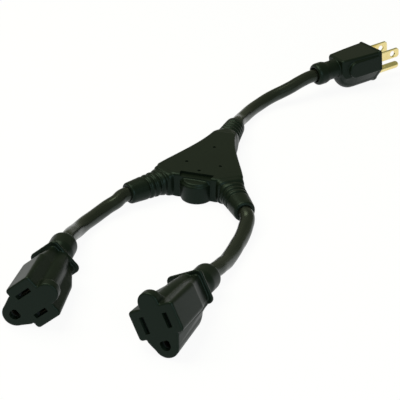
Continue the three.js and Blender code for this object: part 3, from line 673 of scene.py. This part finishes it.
def placed(x_axis: tuple, y_axis: tuple, z_axis: tuple, origin_mm: tuple) -> Matrix:
    """Makes a place from three axes and an origin in millimetres.

    Args:
        x_axis: local x.
        y_axis: local y.
        z_axis: local z.
        origin_mm: the local origin.

    Returns:
        The place.
    """
    place = Matrix((x_axis, y_axis, z_axis)).transposed().to_4x4()
    place.translation = Vector(origin_mm) * MM
    return place


@dataclass
class Moulding:
    """A vinyl moulding: overlapping forms fused to one even skin, softened, and cut where it is open."""

    name: str
    node: str
    place: Matrix
    voxel: float = 0.36 * MM
    passes: int = 5

    def skin(self) -> Skin:
        """Gives the forms that are fused."""
        raise NotImplementedError

    def openings(self) -> list[np.ndarray]:
        """Gives closed grids that are cut out."""
        raise NotImplementedError

    def build(self, shop: Workshop) -> set[str]:
        """Fuses the forms on an even grid of small cubes, moves each point to its neighbours' mean, and cuts.

        Args:
            shop: the workshop.

        Returns:
            The node that it stands for.
        """
        piece = new_object(self.name, self.skin().mesh(self.name, self.place))
        fuse = piece.modifiers.new("even_skin", "REMESH")
        fuse.mode = "VOXEL"
        fuse.voxel_size = self.voxel
        soften = piece.modifiers.new("soft_edges", "SMOOTH")
        soften.factor = 0.5
        soften.iterations = self.passes
        bake_modifiers(piece)
        self.cut(piece)
        self.keep_above_table(piece)
        piece.data.shade_smooth()
        piece.data.set_sharp_from_angle(angle=math.radians(50))
        shop.place(piece, Slot.VINYL, self.node)
        return {self.node}

    def cut(self, piece: bpy.types.Object) -> None:
        """Cuts the openings out of a piece, one after another.

        Args:
            piece: the piece.
        """
        tools = []
        for grid in self.openings():
            form = Skin()
            form.add(grid)
            tools.append(new_object(f"{self.name}_tool", form.mesh(f"{self.name}_tool", self.place)))
            opening = piece.modifiers.new("opening", "BOOLEAN")
            opening.object = tools[-1]
            opening.operation = "DIFFERENCE"
            opening.solver = "MANIFOLD"
        bake_modifiers(piece)
        for tool in tools:
            bpy.data.objects.remove(tool)

    def keep_above_table(self, piece: bpy.types.Object) -> None:
        """Raises each point that lies below the table to it.

        Args:
            piece: the piece.
        """
        points = np.empty(len(piece.data.vertices) * 3, np.float32)
        piece.data.vertices.foreach_get("co", points)
        points[2::3] = np.maximum(points[2::3], 0.0)
        piece.data.vertices.foreach_set("co", points)


@dataclass
class Entry:
    """Neck, round collar and hollow mouth behind a plug or a socket, with lengths in millimetres."""

    start: float
    neck_length: float
    collar_length: float
    drop: float
    collar: float = 7.3
    neck: float = 6.2
    mouth: float = 5.1
    cord: float = 4.35
    mouth_depth: float = 3.0
    bore_depth: float = 14.0
    lip_length: float = 2.6
    lip_depth: float = 1.6

    @property
    def end(self) -> float:
        """Gives z of the collar's far end."""
        return self.start - self.neck_length - self.collar_length

    def body(self) -> np.ndarray:
        """Turns the collar: its radius swells smoothly from the neck and closes as a quarter circle.

        Returns:
            A grid of rings by points by 3.
        """
        z = np.linspace(self.end, self.start + 3, 60)
        swell = eased(self.end + self.collar_length + 1.2, self.end + self.collar_length - 3.2, z)
        lip = np.clip((self.end + self.lip_length - z) / self.lip_length, 0, 1)
        radius = self.neck + (self.collar - self.neck) * swell - self.lip_depth * (1 - np.sqrt(1 - lip**2))
        return turned(list(zip(radius, z)), (0.0, -self.drop))

    def hollow(self) -> np.ndarray:
        """Turns the mouth that the cord leaves through, which narrows inwards to the cord.

        Returns:
            A grid of rings by points by 3.
        """
        end = self.end
        seat = end + self.mouth_depth
        profile = [(self.mouth, end - 1), (self.mouth, end + 0.2), (self.cord + 0.3, seat),
                   (self.cord, seat + 0.2), (self.cord, seat + self.bore_depth)]
        return turned(profile, (0.0, -self.drop))


@dataclass
class Socket(Moulding):
    """Grounded socket: two ears with a round lobe above and a deeper one below, in millimetres."""

    ear: float = 12.4
    ear_top: float = 8.2
    ear_bottom: float = -7.2
    ear_length: float = 24.4
    waist: float = 8.4
    waist_start: float = 35.0
    crest: float = 5.5
    crest_top: float = 15.3
    lobe_width: float = 8.7
    lobe_radius: float = 6.5
    lobe_bottom: float = -18.4
    keel_lift: float = 2.2
    keel_round: float = 9.0
    flange: float = 10.3
    flange_bottom: float = -9.3
    flange_top: float = 9.0
    flange_back: float = 39.4
    ease: float = 0.7
    blade_offset: float = 6.35
    ground_drop: float = 11.9
    neutral_slot: float = 4.4
    line_slot: float = 3.85
    slot_width: float = 1.25
    ground_hole: float = 2.6
    wall: float = 3.0
    room_depth: float = 20.6

    def entry(self) -> Entry:
        """Gives the cord's entry."""
        return Entry(start=-self.flange_back, neck_length=8.0, collar_length=12.5, drop=1.6)

    def skin(self) -> Skin:
        """Lofts ears, crest, keel and flange between outlines, and adds the collar.

        Returns:
            The forms.
        """
        skin = Skin()
        e, b, t = self.ease, self.ear_bottom, self.ear_top
        waist = rounded_rectangle(self.waist, b, t - 1.4, 2)
        ear_rear = rounded_rectangle(self.ear - 0.6, b, t - 0.5, 2.2)
        ear_front = rounded_rectangle(self.ear, b, t, 1.7)
        edge = rounded_rectangle(self.ear - 0.3, b + 0.3, t - 0.3, 1.5)
        face = rounded_rectangle(self.ear - e, b + e, t - e, 1.2)
        skin.add(loft([-self.waist_start - 3, -self.waist_start, -self.ear_length, -e, -0.2 * e, 0],
                      [waist, waist, ear_rear, ear_front, edge, face]))
        back = np.linspace(-self.waist_start - 3, -12, 6)
        slope = np.linspace(-11, -3.6, 12)
        height = np.concatenate([np.interp(back, [-38, -26, -12], [t + 0.3, t + 1.6, t + 2.2]),
                                 t + 2.2 + (self.crest_top - t - 2.2) * eased(-9.5, -4.2, slope),
                                 [self.crest_top, self.crest_top - 0.25, self.crest_top - e]])
        width = np.concatenate([np.full(18, self.crest), [self.crest, self.crest - 0.25, self.crest - e]])
        depth = np.concatenate([back, slope, [-e, -0.2 * e, 0]])
        skin.add(loft(depth.tolist(), [lobe(w, h - w, w, h, 0.0) for w, h in zip(width, height)]))
        share = np.linspace(0.02, 1, 14)
        rise = 1 - np.sqrt(1 - (1 - share) ** 2)
        rear = self.lobe_bottom + self.keel_lift
        front = [self.lobe_bottom, self.lobe_bottom + 0.25, self.lobe_bottom + e]
        bottom = np.concatenate([rear + (b - rear) * rise * 0.94, front])
        depth = np.concatenate([-self.waist_start + self.keel_round * share, [-e, -0.2 * e, 0]])
        inset = np.concatenate([np.zeros(15), [0.25, e]])
        skin.add(loft(depth.tolist(), [lobe(self.lobe_width - k, b - 1.2, self.lobe_radius - k, y)
                                       for y, k in zip(bottom, inset)]))
        rim = rounded_rectangle(self.flange, self.flange_bottom, self.flange_top, 3)
        thin = rounded_rectangle(self.flange - 0.5, self.flange_bottom + 0.5, self.flange_top - 0.5, 2.6)
        rear = -self.flange_back
        skin.add(loft([rear, rear + 0.4, rear + 1.6, rear + 2.0], [thin, rim, rim, thin]))
        skin.add(self.entry().body())
        return skin

    def openings(self) -> list[np.ndarray]:
        """Gives slots, the ground hole with its flat corners above, the contacts' room and the mouth.

        Returns:
            Closed grids of rings by points by 3.
        """
        tool: list[np.ndarray] = []
        for x, half in ((-self.blade_offset, self.neutral_slot), (self.blade_offset, self.line_slot)):
            slot = rounded_rectangle(self.slot_width, -half, half, 0.3) + [x, 0]
            tool.append(loft([-self.wall - 0.05, 0.6], [slot, slot]))
        r = self.ground_hole
        low = arc_points(0, -self.ground_drop, r, 180, 360, 30)
        up = np.array([[r, -self.ground_drop + 1.7], [1.7, -self.ground_drop + r]])
        hole = np.vstack([low, up, up[::-1] * [-1, 1]])
        tool.append(loft([-self.wall - 0.05, 0.6], [hole, hole]))
        room = rounded_rectangle(9.9, -5.9, 5.9, 1.3)
        tool.append(loft([-self.room_depth, -self.wall], [room, room]))
        low_room = lobe(4.6, -self.ground_drop + 0.5, 4.6, -self.ground_drop - 4.6)
        tool.append(loft([-self.room_depth, -self.wall], [low_room, low_room]))
        tool.append(self.entry().hollow())
        return tool


@dataclass
class Plug(Moulding):
    """Grounded plug body: a shield outline with a flat top, thumb grips and a collar, in millimetres."""

    half_width: float = 11.6
    top: float = 7.0
    side_bottom: float = -7.0
    bottom: float = -17.4
    lobe_radius: float = 6.0
    length: float = 30.0
    rear_half_width: float = 8.2
    step: float = 0.6
    corner: float = 1.2
    grip_length: float = 25.5
    grip_half_height: float = 5.6
    grip_centre: float = -1.2
    hole_place: float = -34.5

    def shield(self, half_width: float, top: float, side_bottom: float, bottom: float,
               inset: float) -> np.ndarray:
        """Outlines a shield: flat top, upright sides, flanks that lean in, and a round end.

        Args:
            half_width: half its width.
            top: y of its top.
            side_bottom: y where its sides end.
            bottom: y of its lowest point.
            inset: how far the whole outline is drawn in.

        Returns:
            64 points.
        """
        w, r = half_width - inset, self.lobe_radius - inset
        c = self.corner
        side, upper, lower = w - c, top - inset - c, side_bottom + c
        return np.vstack([arc_points(side, lower, c, -30, 0, 6), arc_points(side, upper, c, 0, 90, 10),
                          arc_points(-side, upper, c, 90, 180, 10), arc_points(-side, lower, c, 180, 210, 6),
                          arc_points(0, bottom + inset + r, r, 200, 340, 32)])

    def entry(self) -> Entry:
        """Gives the cord's entry."""
        return Entry(start=-self.length, neck_length=7.5, collar_length=9.0, drop=0.5)

    def skin(self) -> Skin:
        """Lofts face plate and hull, and adds grips and collar.

        Returns:
            The forms.
        """
        skin = Skin()
        full = (self.half_width, self.top, self.side_bottom, self.bottom)
        face = [self.shield(*full, inset) for inset in (0.15, 0, 0, 0.15, 0.5)]
        skin.add(loft([-2.0, -1.8, -0.5, -0.15, 0.0], face))
        inner, low = self.half_width - self.step, self.bottom + self.step
        rounded = [0.3, 0.8, 1.6, 2.6, 3.8, 5.2, 7, 9, 12]
        ahead = np.concatenate([rounded, np.linspace(14, self.length - 1, 9)])
        lift = 9.5 * (1 - np.sqrt(1 - np.clip(1 - ahead / 11, 0, 1) ** 2))
        width = inner - (inner - self.rear_half_width) * ((self.length - ahead) / self.length) ** 1.6
        draw = np.clip(1 - ahead / 1.6, 0, 1) * 0.7
        skin.add(loft((ahead - self.length).tolist(), [
            self.shield(w, self.top - self.step / 2, self.side_bottom + max(0.0, u - 3.5), low + u, d)
            for w, u, d in zip(width, lift, draw)]))
        skin.add(self.grips())
        skin.add(self.entry().body())
        return skin

    def grip_outline(self, inset: float) -> np.ndarray:
        """Outlines a bar with a round rear end.

        Args:
            inset: how far the outline is drawn in.

        Returns:
            42 points of z and y.
        """
        radius = self.grip_half_height - inset
        end = arc_points(self.grip_half_height - self.grip_length, self.grip_centre, radius, 90, 270, 40)
        front = [[-1.0, self.grip_centre - radius], [-1.0, self.grip_centre + radius]]
        return np.vstack([end, front])

    def grips(self) -> np.ndarray:
        """Carries the thumb grips' outline through the body from side to side.

        Returns:
            A grid of 6 rings.
        """
        left = [-self.half_width + step for step in (0.1, 0.3, 0.8)]
        x = np.array(left + [-k for k in left[::-1]])
        flat = np.stack([self.grip_outline(inset) for inset in (0.7, 0.25, 0, 0, 0.25, 0.7)])
        side = np.broadcast_to(x[:, None], flat.shape[:2])
        return np.stack([side, flat[..., 1], flat[..., 0]], axis=2)

    def openings(self) -> list[np.ndarray]:
        """Gives the mouth and a small moulding hole in the neck's top."""
        upright = turned([(0.55, 4.0), (0.55, 9.0)], (0.0, 0.0), 16)[..., [0, 2, 1]]
        return [self.entry().hollow(), upright + [0.0, 0.0, self.hole_place]]


@dataclass
class Junction(Moulding):
    """Flat forked junction: a plate, three ribbed necks and a round boss at the crotch, in millimetres."""

    height: float = 15.0
    edge: float = 1.3
    leg_angle: float = 35.0
    leg_end: tuple[float, float] = (34.0, -20.0)
    leg_length: float = 25.0
    trunk_end: float = 79.0
    trunk_length: float = 23.0
    root: float = 8.0
    tip: float = 6.0
    cord_height: float = 7.4
    boss: float = 9.3
    groove: float = 0.95
    groove_width: float = 1.7
    groove_pitch: float = 3.6
    grooves: int = 4
    trunk_half: float = 7.0
    crotch: tuple[tuple[float, float], ...] = ((0.0, -2.2), (8.5, -2.6))
    flank_near_leg: tuple[float, float] = (-4.6, 13.0)
    flank_near_trunk: tuple[float, float] = (2.6, -18.0)
    recess_y: float = 1.4
    boss_y: float = 0.5
    plate_half: float = 7.45
    recess_floor: float = 13.5
    dimples: tuple[tuple[float, float], ...] = ((0.0, 34.3), (-10.0, 13.0), (10.0, 13.0), (0.0, 4.6))
    bore: float = 4.35
    bore_depth: float = 13.2

    def outline(self) -> np.ndarray:
        """Gives the plate's plan as a closed line with soft corners, about 1 mm between points.

        The corners are softened by a running mean over 5 mm of the line.

        Returns:
            An array of points by 2.
        """
        a = math.radians(self.leg_angle)
        ahead, side = np.array([math.sin(a), -math.cos(a)]), np.array([math.cos(a), math.sin(a)])
        root = np.array(self.leg_end) - ahead * self.leg_length
        half = self.root - 0.3
        p0 = root + side * half
        p3 = np.array([self.trunk_half, self.trunk_end - self.trunk_length])
        p1, p2 = p0 + self.flank_near_leg, p3 + self.flank_near_trunk
        t = np.linspace(0, 1, 24)[:, None]
        flank = (1 - t) ** 3 * p0 + 3 * t * (1 - t) ** 2 * p1 + 3 * t**2 * (1 - t) * p2 + t**3 * p3
        inner, outer = root - side * half - ahead, root + side * half - ahead
        right = np.vstack([*self.crotch, inner, outer, flank])
        line = np.vstack([right, right[:0:-1] * [-1, 1]])
        line = np.vstack([line, line[:1]])
        along = np.concatenate([[0], np.cumsum(np.linalg.norm(np.diff(line, axis=0), axis=1))])
        even = np.linspace(0, along[-1], round(along[-1]), endpoint=False)
        line = np.stack([np.interp(even, along, line[:, k]) for k in range(2)], axis=1)
        return sum(np.roll(line, k, axis=0) for k in range(-2, 3)) / 5

    def plate(self) -> np.ndarray:
        """Raises the plan to a plate whose edges are quarter circles, drawn in along the line's normals.

        Returns:
            A grid of rings by points by 3.
        """
        line = self.outline()
        run = np.roll(line, -1, axis=0) - np.roll(line, 1, axis=0)
        normal = np.stack([run[:, 1], -run[:, 0]], axis=1) / np.linalg.norm(run, axis=1, keepdims=True)
        turn = np.linspace(0, np.pi / 2, 6)
        low, high = 0.7, self.edge
        z = np.concatenate([low * (1 - np.sin(turn[::-1])), [0.5 * self.height],
                            self.height - high * (1 - np.sin(turn))])
        inset = np.concatenate([low * (1 - np.cos(turn[::-1])), [0], high * (1 - np.cos(turn))])
        rings = line[None] - normal[None] * inset[:, None, None]
        return loft(z.tolist(), list(rings))

    def neck(self, end: tuple[float, float], ahead: tuple[float, float], length: float,
             first: float) -> np.ndarray:
        """Carries a section along a neck: nearly square in the plate, round past it, with four grooves.

        Args:
            end: plan of the neck's end.
            ahead: plan direction.
            length: its length outside the plate.
            first: where the first groove starts.

        Returns:
            The grid.
        """
        lip_start = length - 1.2
        rounding = lip_start + 1.2 * np.sin(np.linspace(0.1, 1.5, 10))
        s = np.concatenate([np.linspace(-7, lip_start, 150), rounding])
        share = np.clip(s / length, 0, 1)
        wide = self.root + (self.tip - self.root) * share
        tall = self.plate_half + (self.tip - self.plate_half) * share
        for k in range(self.grooves):
            middle = first + self.groove_pitch * k + self.groove_width / 2
            across = np.clip((s - middle) / (self.groove_width / 2), -1, 1)
            dip = self.groove * np.cos(np.pi / 2 * across) ** 0.7
            wide, tall = wide - dip, tall - dip
        lip = 1.2 * (1 - np.sqrt(1 - np.clip((s - length + 1.2) / 1.2, 0, 1) ** 2))
        power = 6 - 3.9 * eased(-2, 5, s)
        ring = superellipse(wide - lip, tall - lip, power)
        d = np.array([*ahead, 0.0])
        side = np.array([ahead[1], -ahead[0], 0.0])
        base = np.array([*end, self.cord_height]) + (s - length)[:, None] * d
        return base[:, None] + ring[..., :1] * side + ring[..., 1:] * np.array([0.0, 0.0, 1.0])

    def exits(self) -> list[tuple[tuple[float, float], tuple[float, float], float, float]]:
        """Lists each neck's end, direction, length and first groove.

        Returns:
            Those four values for trunk, right leg and left leg.
        """
        a = math.radians(self.leg_angle)
        x, y = self.leg_end
        return [((0.0, self.trunk_end), (0.0, 1.0), self.trunk_length, 5.6),
                ((x, y), (math.sin(a), -math.cos(a)), self.leg_length, 1.6),
                ((-x, y), (-math.sin(a), -math.cos(a)), self.leg_length, 1.6)]

    def skin(self) -> Skin:
        """Adds plate, necks and the boss, whose rim has two small lips.

        Returns:
            The forms.
        """
        skin = Skin()
        skin.add(self.plate())
        r = self.boss
        profile = [(r - 0.7, 0), (r - 0.2, 0.2), (r, 0.8), (r, 10.4), (r - 0.25, 10.9), (r - 1.0, 11.3),
                   (r - 1.05, 11.8), (r - 1.3, 12.3), (r - 2.0, 12.5)]
        skin.add(turned(profile, (0.0, self.boss_y)))
        for end, ahead, length, first in self.exits():
            skin.add(self.neck(end, ahead, length, first))
        return skin

    def openings(self) -> list[np.ndarray]:
        """Gives the recess over the boss, four dimples and the cords' bores.

        Returns:
            Closed grids of rings by points by 3.
        """
        tool: list[np.ndarray] = []
        edge = arc_points(0, self.recess_y, self.boss + 0.5, 180, 360, 40)
        tool.append(loft([self.recess_floor, self.height + 1], [edge, edge]))
        for x, y in self.dimples:
            profile = [(0.7, self.height - 1.2), (0.95, self.height - 0.3), (1.0, self.height + 1)]
            tool.append(turned(profile, (x, y), 20))
        for end, ahead, *_ in self.exits():
            d, side = np.array([*ahead, 0.0]), np.array([ahead[1], -ahead[0], 0.0])
            radii = np.array([self.bore, self.bore])
            ring = superellipse(radii, radii, np.array([2.0, 2.0]), 48)
            base = np.array([*end, self.cord_height]) + np.array([[-self.bore_depth], [2.0]]) * d
            tool.append(base[:, None] + ring[..., :1] * side + ring[..., 1:] * np.array([0.0, 0.0, 1.0]))
        return tool


def bake_modifiers(piece: bpy.types.Object) -> None:
    """Replaces a piece's mesh by the result of its modifiers.

    Args:
        piece: the piece.
    """
    graph = bpy.context.evaluated_depsgraph_get()
    graph.update()
    result = bpy.data.meshes.new_from_object(piece.evaluated_get(graph))
    piece.modifiers.clear()
    piece.data = result


@dataclass
class EasedMetal:
    """A metal piece with small rounded edges."""

    name: str
    node: str
    ease: float = 0.15 * MM

    def build(self, shop: Workshop) -> set[str]:
        """Merges a copy of the solid and rounds its sharp edges with a bevel.

        Args:
            shop: the workshop.

        Returns:
            The node that it stands for.
        """
        mesh = shop.frame["nodes"][self.node].data.copy()
        merge = bmesh.new()
        merge.from_mesh(mesh)
        bmesh.ops.remove_doubles(merge, verts=merge.verts, dist=0.001 * MM)
        bmesh.ops.dissolve_limit(merge, angle_limit=math.radians(0.5), verts=merge.verts, edges=merge.edges)
        merge.to_mesh(mesh)
        merge.free()
        piece = new_object(self.name, mesh)
        bevel = piece.modifiers.new("eased_edges", "BEVEL")
        bevel.width = self.ease
        bevel.segments = 2
        bevel.limit_method = "ANGLE"
        bevel.angle_limit = math.radians(40)
        bake_modifiers(piece)
        piece.data.shade_smooth()
        piece.data.set_sharp_from_angle(angle=math.radians(35))
        shop.place(piece, Slot.BRASS, self.node)
        return {self.node}


@dataclass
class Studio:
    """Camera at the photograph's angle, pale floor and plain soft light."""

    centre: Vector
    focal_px: float = 1254.5
    camera_back: float = 613.05 * MM
    camera_up: float = 353.94 * MM
    elevation: float = math.radians(30)
    floor_side: float = 6.0
    floor_white: float = 0.93

    def build(self) -> None:
        """Sets up camera, world, lamps and floor."""
        scene = bpy.context.scene
        scene.view_settings.view_transform = "Standard"
        data = bpy.data.cameras.new("camera")
        data.sensor_width = SENSOR_WIDTH
        data.lens = SENSOR_WIDTH * self.focal_px / PHOTO_SIDE_PX
        data.clip_start = 0.05
        camera = bpy.data.objects.new("camera", data)
        camera.location = self.centre + Vector((0, -self.camera_back, self.camera_up))
        camera.rotation_euler = (math.pi / 2 - self.elevation, 0, 0)
        scene.collection.objects.link(camera)
        scene.camera = camera
        self.light_world(scene)
        self.add_lamp("key", Vector((-0.35, 0.1, 0.85)), 0.7, 9.0, "#f3f3d4")
        self.add_lamp("fill", Vector((0.25, -0.75, 0.4)), 0.6, 4.0, "#cfe2ef")
        self.lay_floor()

    def light_world(self, scene: bpy.types.Scene) -> None:
        """Lights the scene evenly from all around, with a faint yellow tint.

        Args:
            scene: the scene.
        """
        world = bpy.data.worlds.new("studio")
        world.use_nodes = True
        background = world.node_tree.nodes["Background"]
        background.inputs["Color"].default_value = linear("#eaf0cf")
        background.inputs["Strength"].default_value = 0.36
        scene.world = world

    def add_lamp(self, name: str, away: Vector, side: float, watts: float, colour: str) -> None:
        """Adds a square soft lamp that points at the middle of the view.

        Args:
            name: the lamp's name.
            away: where it stands, from the middle of the view.
            side: its side.
            watts: its power.
            colour: its tint.
        """
        data = bpy.data.lights.new(name, "AREA")
        data.color = linear(colour)[:3]
        data.size = side
        data.energy = watts
        lamp = bpy.data.objects.new(name, data)
        lamp.location = self.centre + away
        lamp.rotation_euler = (-away).to_track_quat("-Z", "Y").to_euler()
        bpy.context.scene.collection.objects.link(lamp)

    def lay_floor(self) -> None:
        """Lays a white floor that shows white to the camera and in reflections, with a faint shadow."""
        half = self.floor_side / 2
        corners = np.array([[-half, -half, 0], [half, -half, 0], [half, half, 0], [-half, half, 0]])
        mesh = bpy.data.meshes.new("floor")
        mesh.from_pydata((corners - [0, 0, 0.02 * MM]).tolist(), [], [(0, 1, 2, 3)])
        floor = new_object("floor", mesh)
        material, tree, shader = new_material("white_floor")
        shader.inputs["Base Color"].default_value = (0.9, 0.9, 0.9, 1.0)
        shader.inputs["Roughness"].default_value = 0.9
        glow = add_node(tree, "ShaderNodeEmission", Strength=1.0)
        path = add_node(tree, "ShaderNodeLightPath")
        seen = add_node(tree, "ShaderNodeMath", {"operation": "MAXIMUM"}, in0=path.outputs["Is Camera Ray"],
                        in1=path.outputs["Is Glossy Ray"])
        share = add_node(tree, "ShaderNodeMath", {"operation": "MULTIPLY"}, in0=seen.outputs[0],
                         in1=self.floor_white)
        mix = add_node(tree, "ShaderNodeMixShader", in0=share.outputs[0], in1=shader.outputs[0],
                       in2=glow.outputs[0])
        tree.links.new(mix.outputs[0], tree.nodes["Material Output"].inputs["Surface"])
        mesh.materials.append(material)


# Centre lines in millimetres from the middle of the view, from the seat in the junction to the seat in the
# plug or socket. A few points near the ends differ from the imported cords', by up to 2.7 mm.
TRUNK_ROUTE = [
    (17.95, 65.94, 7.4), (21.857, 78.338, 7.4), (23.06, 82.16, 7.4), (24.8, 89.4, 5.7), (26.7, 94.6, 5.0),
    (30.7, 103.5, 4.3), (35.0, 110.4, 4.5), (39.9, 116.4, 5.1), (44.3, 120.5, 6.0), (49.2, 124.0, 7.2),
    (54.3, 126.6, 8.6), (59.4, 129.4, 10.1), (64.6, 133.0, 11.8), (70.47, 136.92, 13.27),
    (73.92, 138.93, 13.55), (88.3, 147.33, 14.72),
]
LEFT_ROUTE = [
    (-30.03, 2.06, 7.4), (-40.343, -5.852, 7.4), (-43.6, -8.6, 7.2), (-46.2, -12.6, 6.4),
    (-50.5, -16.6, 5.4), (-54.6, -21.5, 4.7), (-58.5, -27.2, 4.4), (-62.4, -33.8, 4.6), (-65.4, -41.8, 5.8),
    (-67.6, -51.6, 8.9), (-68.96, -59.95, 11.13), (-69.7, -63.88, 11.26), (-72.8, -80.28, 11.81),
]
RIGHT_ROUTE = [
    (20.61, -13.9, 7.4), (24.517, -26.302, 7.4), (25.5, -30.1, 7.2), (25.4, -34.0, 6.2), (24.4, -38.6, 5.6),
    (23.5, -42.4, 5.1), (22.3, -46.5, 4.7), (21.1, -50.3, 4.4), (19.6, -54.4, 4.3), (18.2, -58.6, 4.2),
    (16.7, -62.5, 4.2), (15.1, -66.6, 4.3), (13.4, -71.0, 4.6), (11.4, -75.4, 5.6), (9.3, -80.2, 6.7),
    (5.98, -86.15, 8.0), (4.37, -89.78, 8.52), (-2.34, -104.92, 10.71),
]
# Places of the mouldings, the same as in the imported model: local x, y and z axes, and origin in millimetres.
PLUG_PLACE = placed((-0.49991, 0.863934, -0.0609), (-0.090916, 0.017581, 0.995703),
                    (0.861292, 0.503299, 0.069756), (95.062687, 148.941505, 17.595282))
JUNCTION_PLACE = placed((0.953717, -0.300706, 0.0), (0.300706, 0.953717, 0.0),
                        (0.0, 0.0, 1.0), (-22.037313, -11.158495, 0.0))
LEFT_PLACE = placed((0.622925, -0.143666, -0.768976), (0.759954, -0.12204, 0.638417),
                    (-0.185565, -0.982072, 0.033158), (-99.737313, -137.058495, 14.265392))
RIGHT_PLACE = placed((0.832847, -0.301949, 0.463889), (-0.380853, 0.295535, 0.876134),
                     (-0.401643, -0.906359, 0.131138), (-40.437313, -157.758495, 17.771986))
UNDERSIDE_FROM_VIEW = Vector((5.6175 * MM, 26.8425 * MM, 0.0))


def view_centre(frame: dict) -> Vector:
    """Finds the point of the table that the camera looks at, from the junction's underside mount."""
    mount = next(m for m in frame["record"]["mounts"] if m["name"] == "junction_underside")
    return Vector(mount["pos_m"]) - UNDERSIDE_FROM_VIEW


def main() -> None:
    """Builds the studio, the cords and the mouldings in order, and dresses the rest."""
    logging.basicConfig(level=logging.INFO, format="%(name)s: %(message)s")
    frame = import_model()
    shop = Workshop(frame)
    centre = view_centre(frame)
    Studio(centre).build()
    cords = [
        Cord("trunk_jacket", "trunk_cord", TRUNK_ROUTE, centre),
        Cord("left_jacket", "left_cord", LEFT_ROUTE, centre),
        Cord("right_jacket", "right_cord", RIGHT_ROUTE, centre),
    ]
    mouldings = [
        Plug("plug_moulding", "plug_body", PLUG_PLACE, voxel=0.32 * MM),
        Junction("junction_moulding", "junction_body", JUNCTION_PLACE, voxel=0.4 * MM),
        Socket("left_socket_moulding", "left_socket_body", LEFT_PLACE),
        Socket("right_socket_moulding", "right_socket_body", RIGHT_PLACE),
    ]
    metals = [EasedMetal(f"{node}_brass", node) for node in ("line_blade", "neutral_blade", "ground_pin")]
    replaced: set[str] = set()
    for part in [*cords, *mouldings, *metals]:
        replaced |= part.build(shop)
    shop.dress_nodes(replaced)


if __name__ == "__main__":
    main()
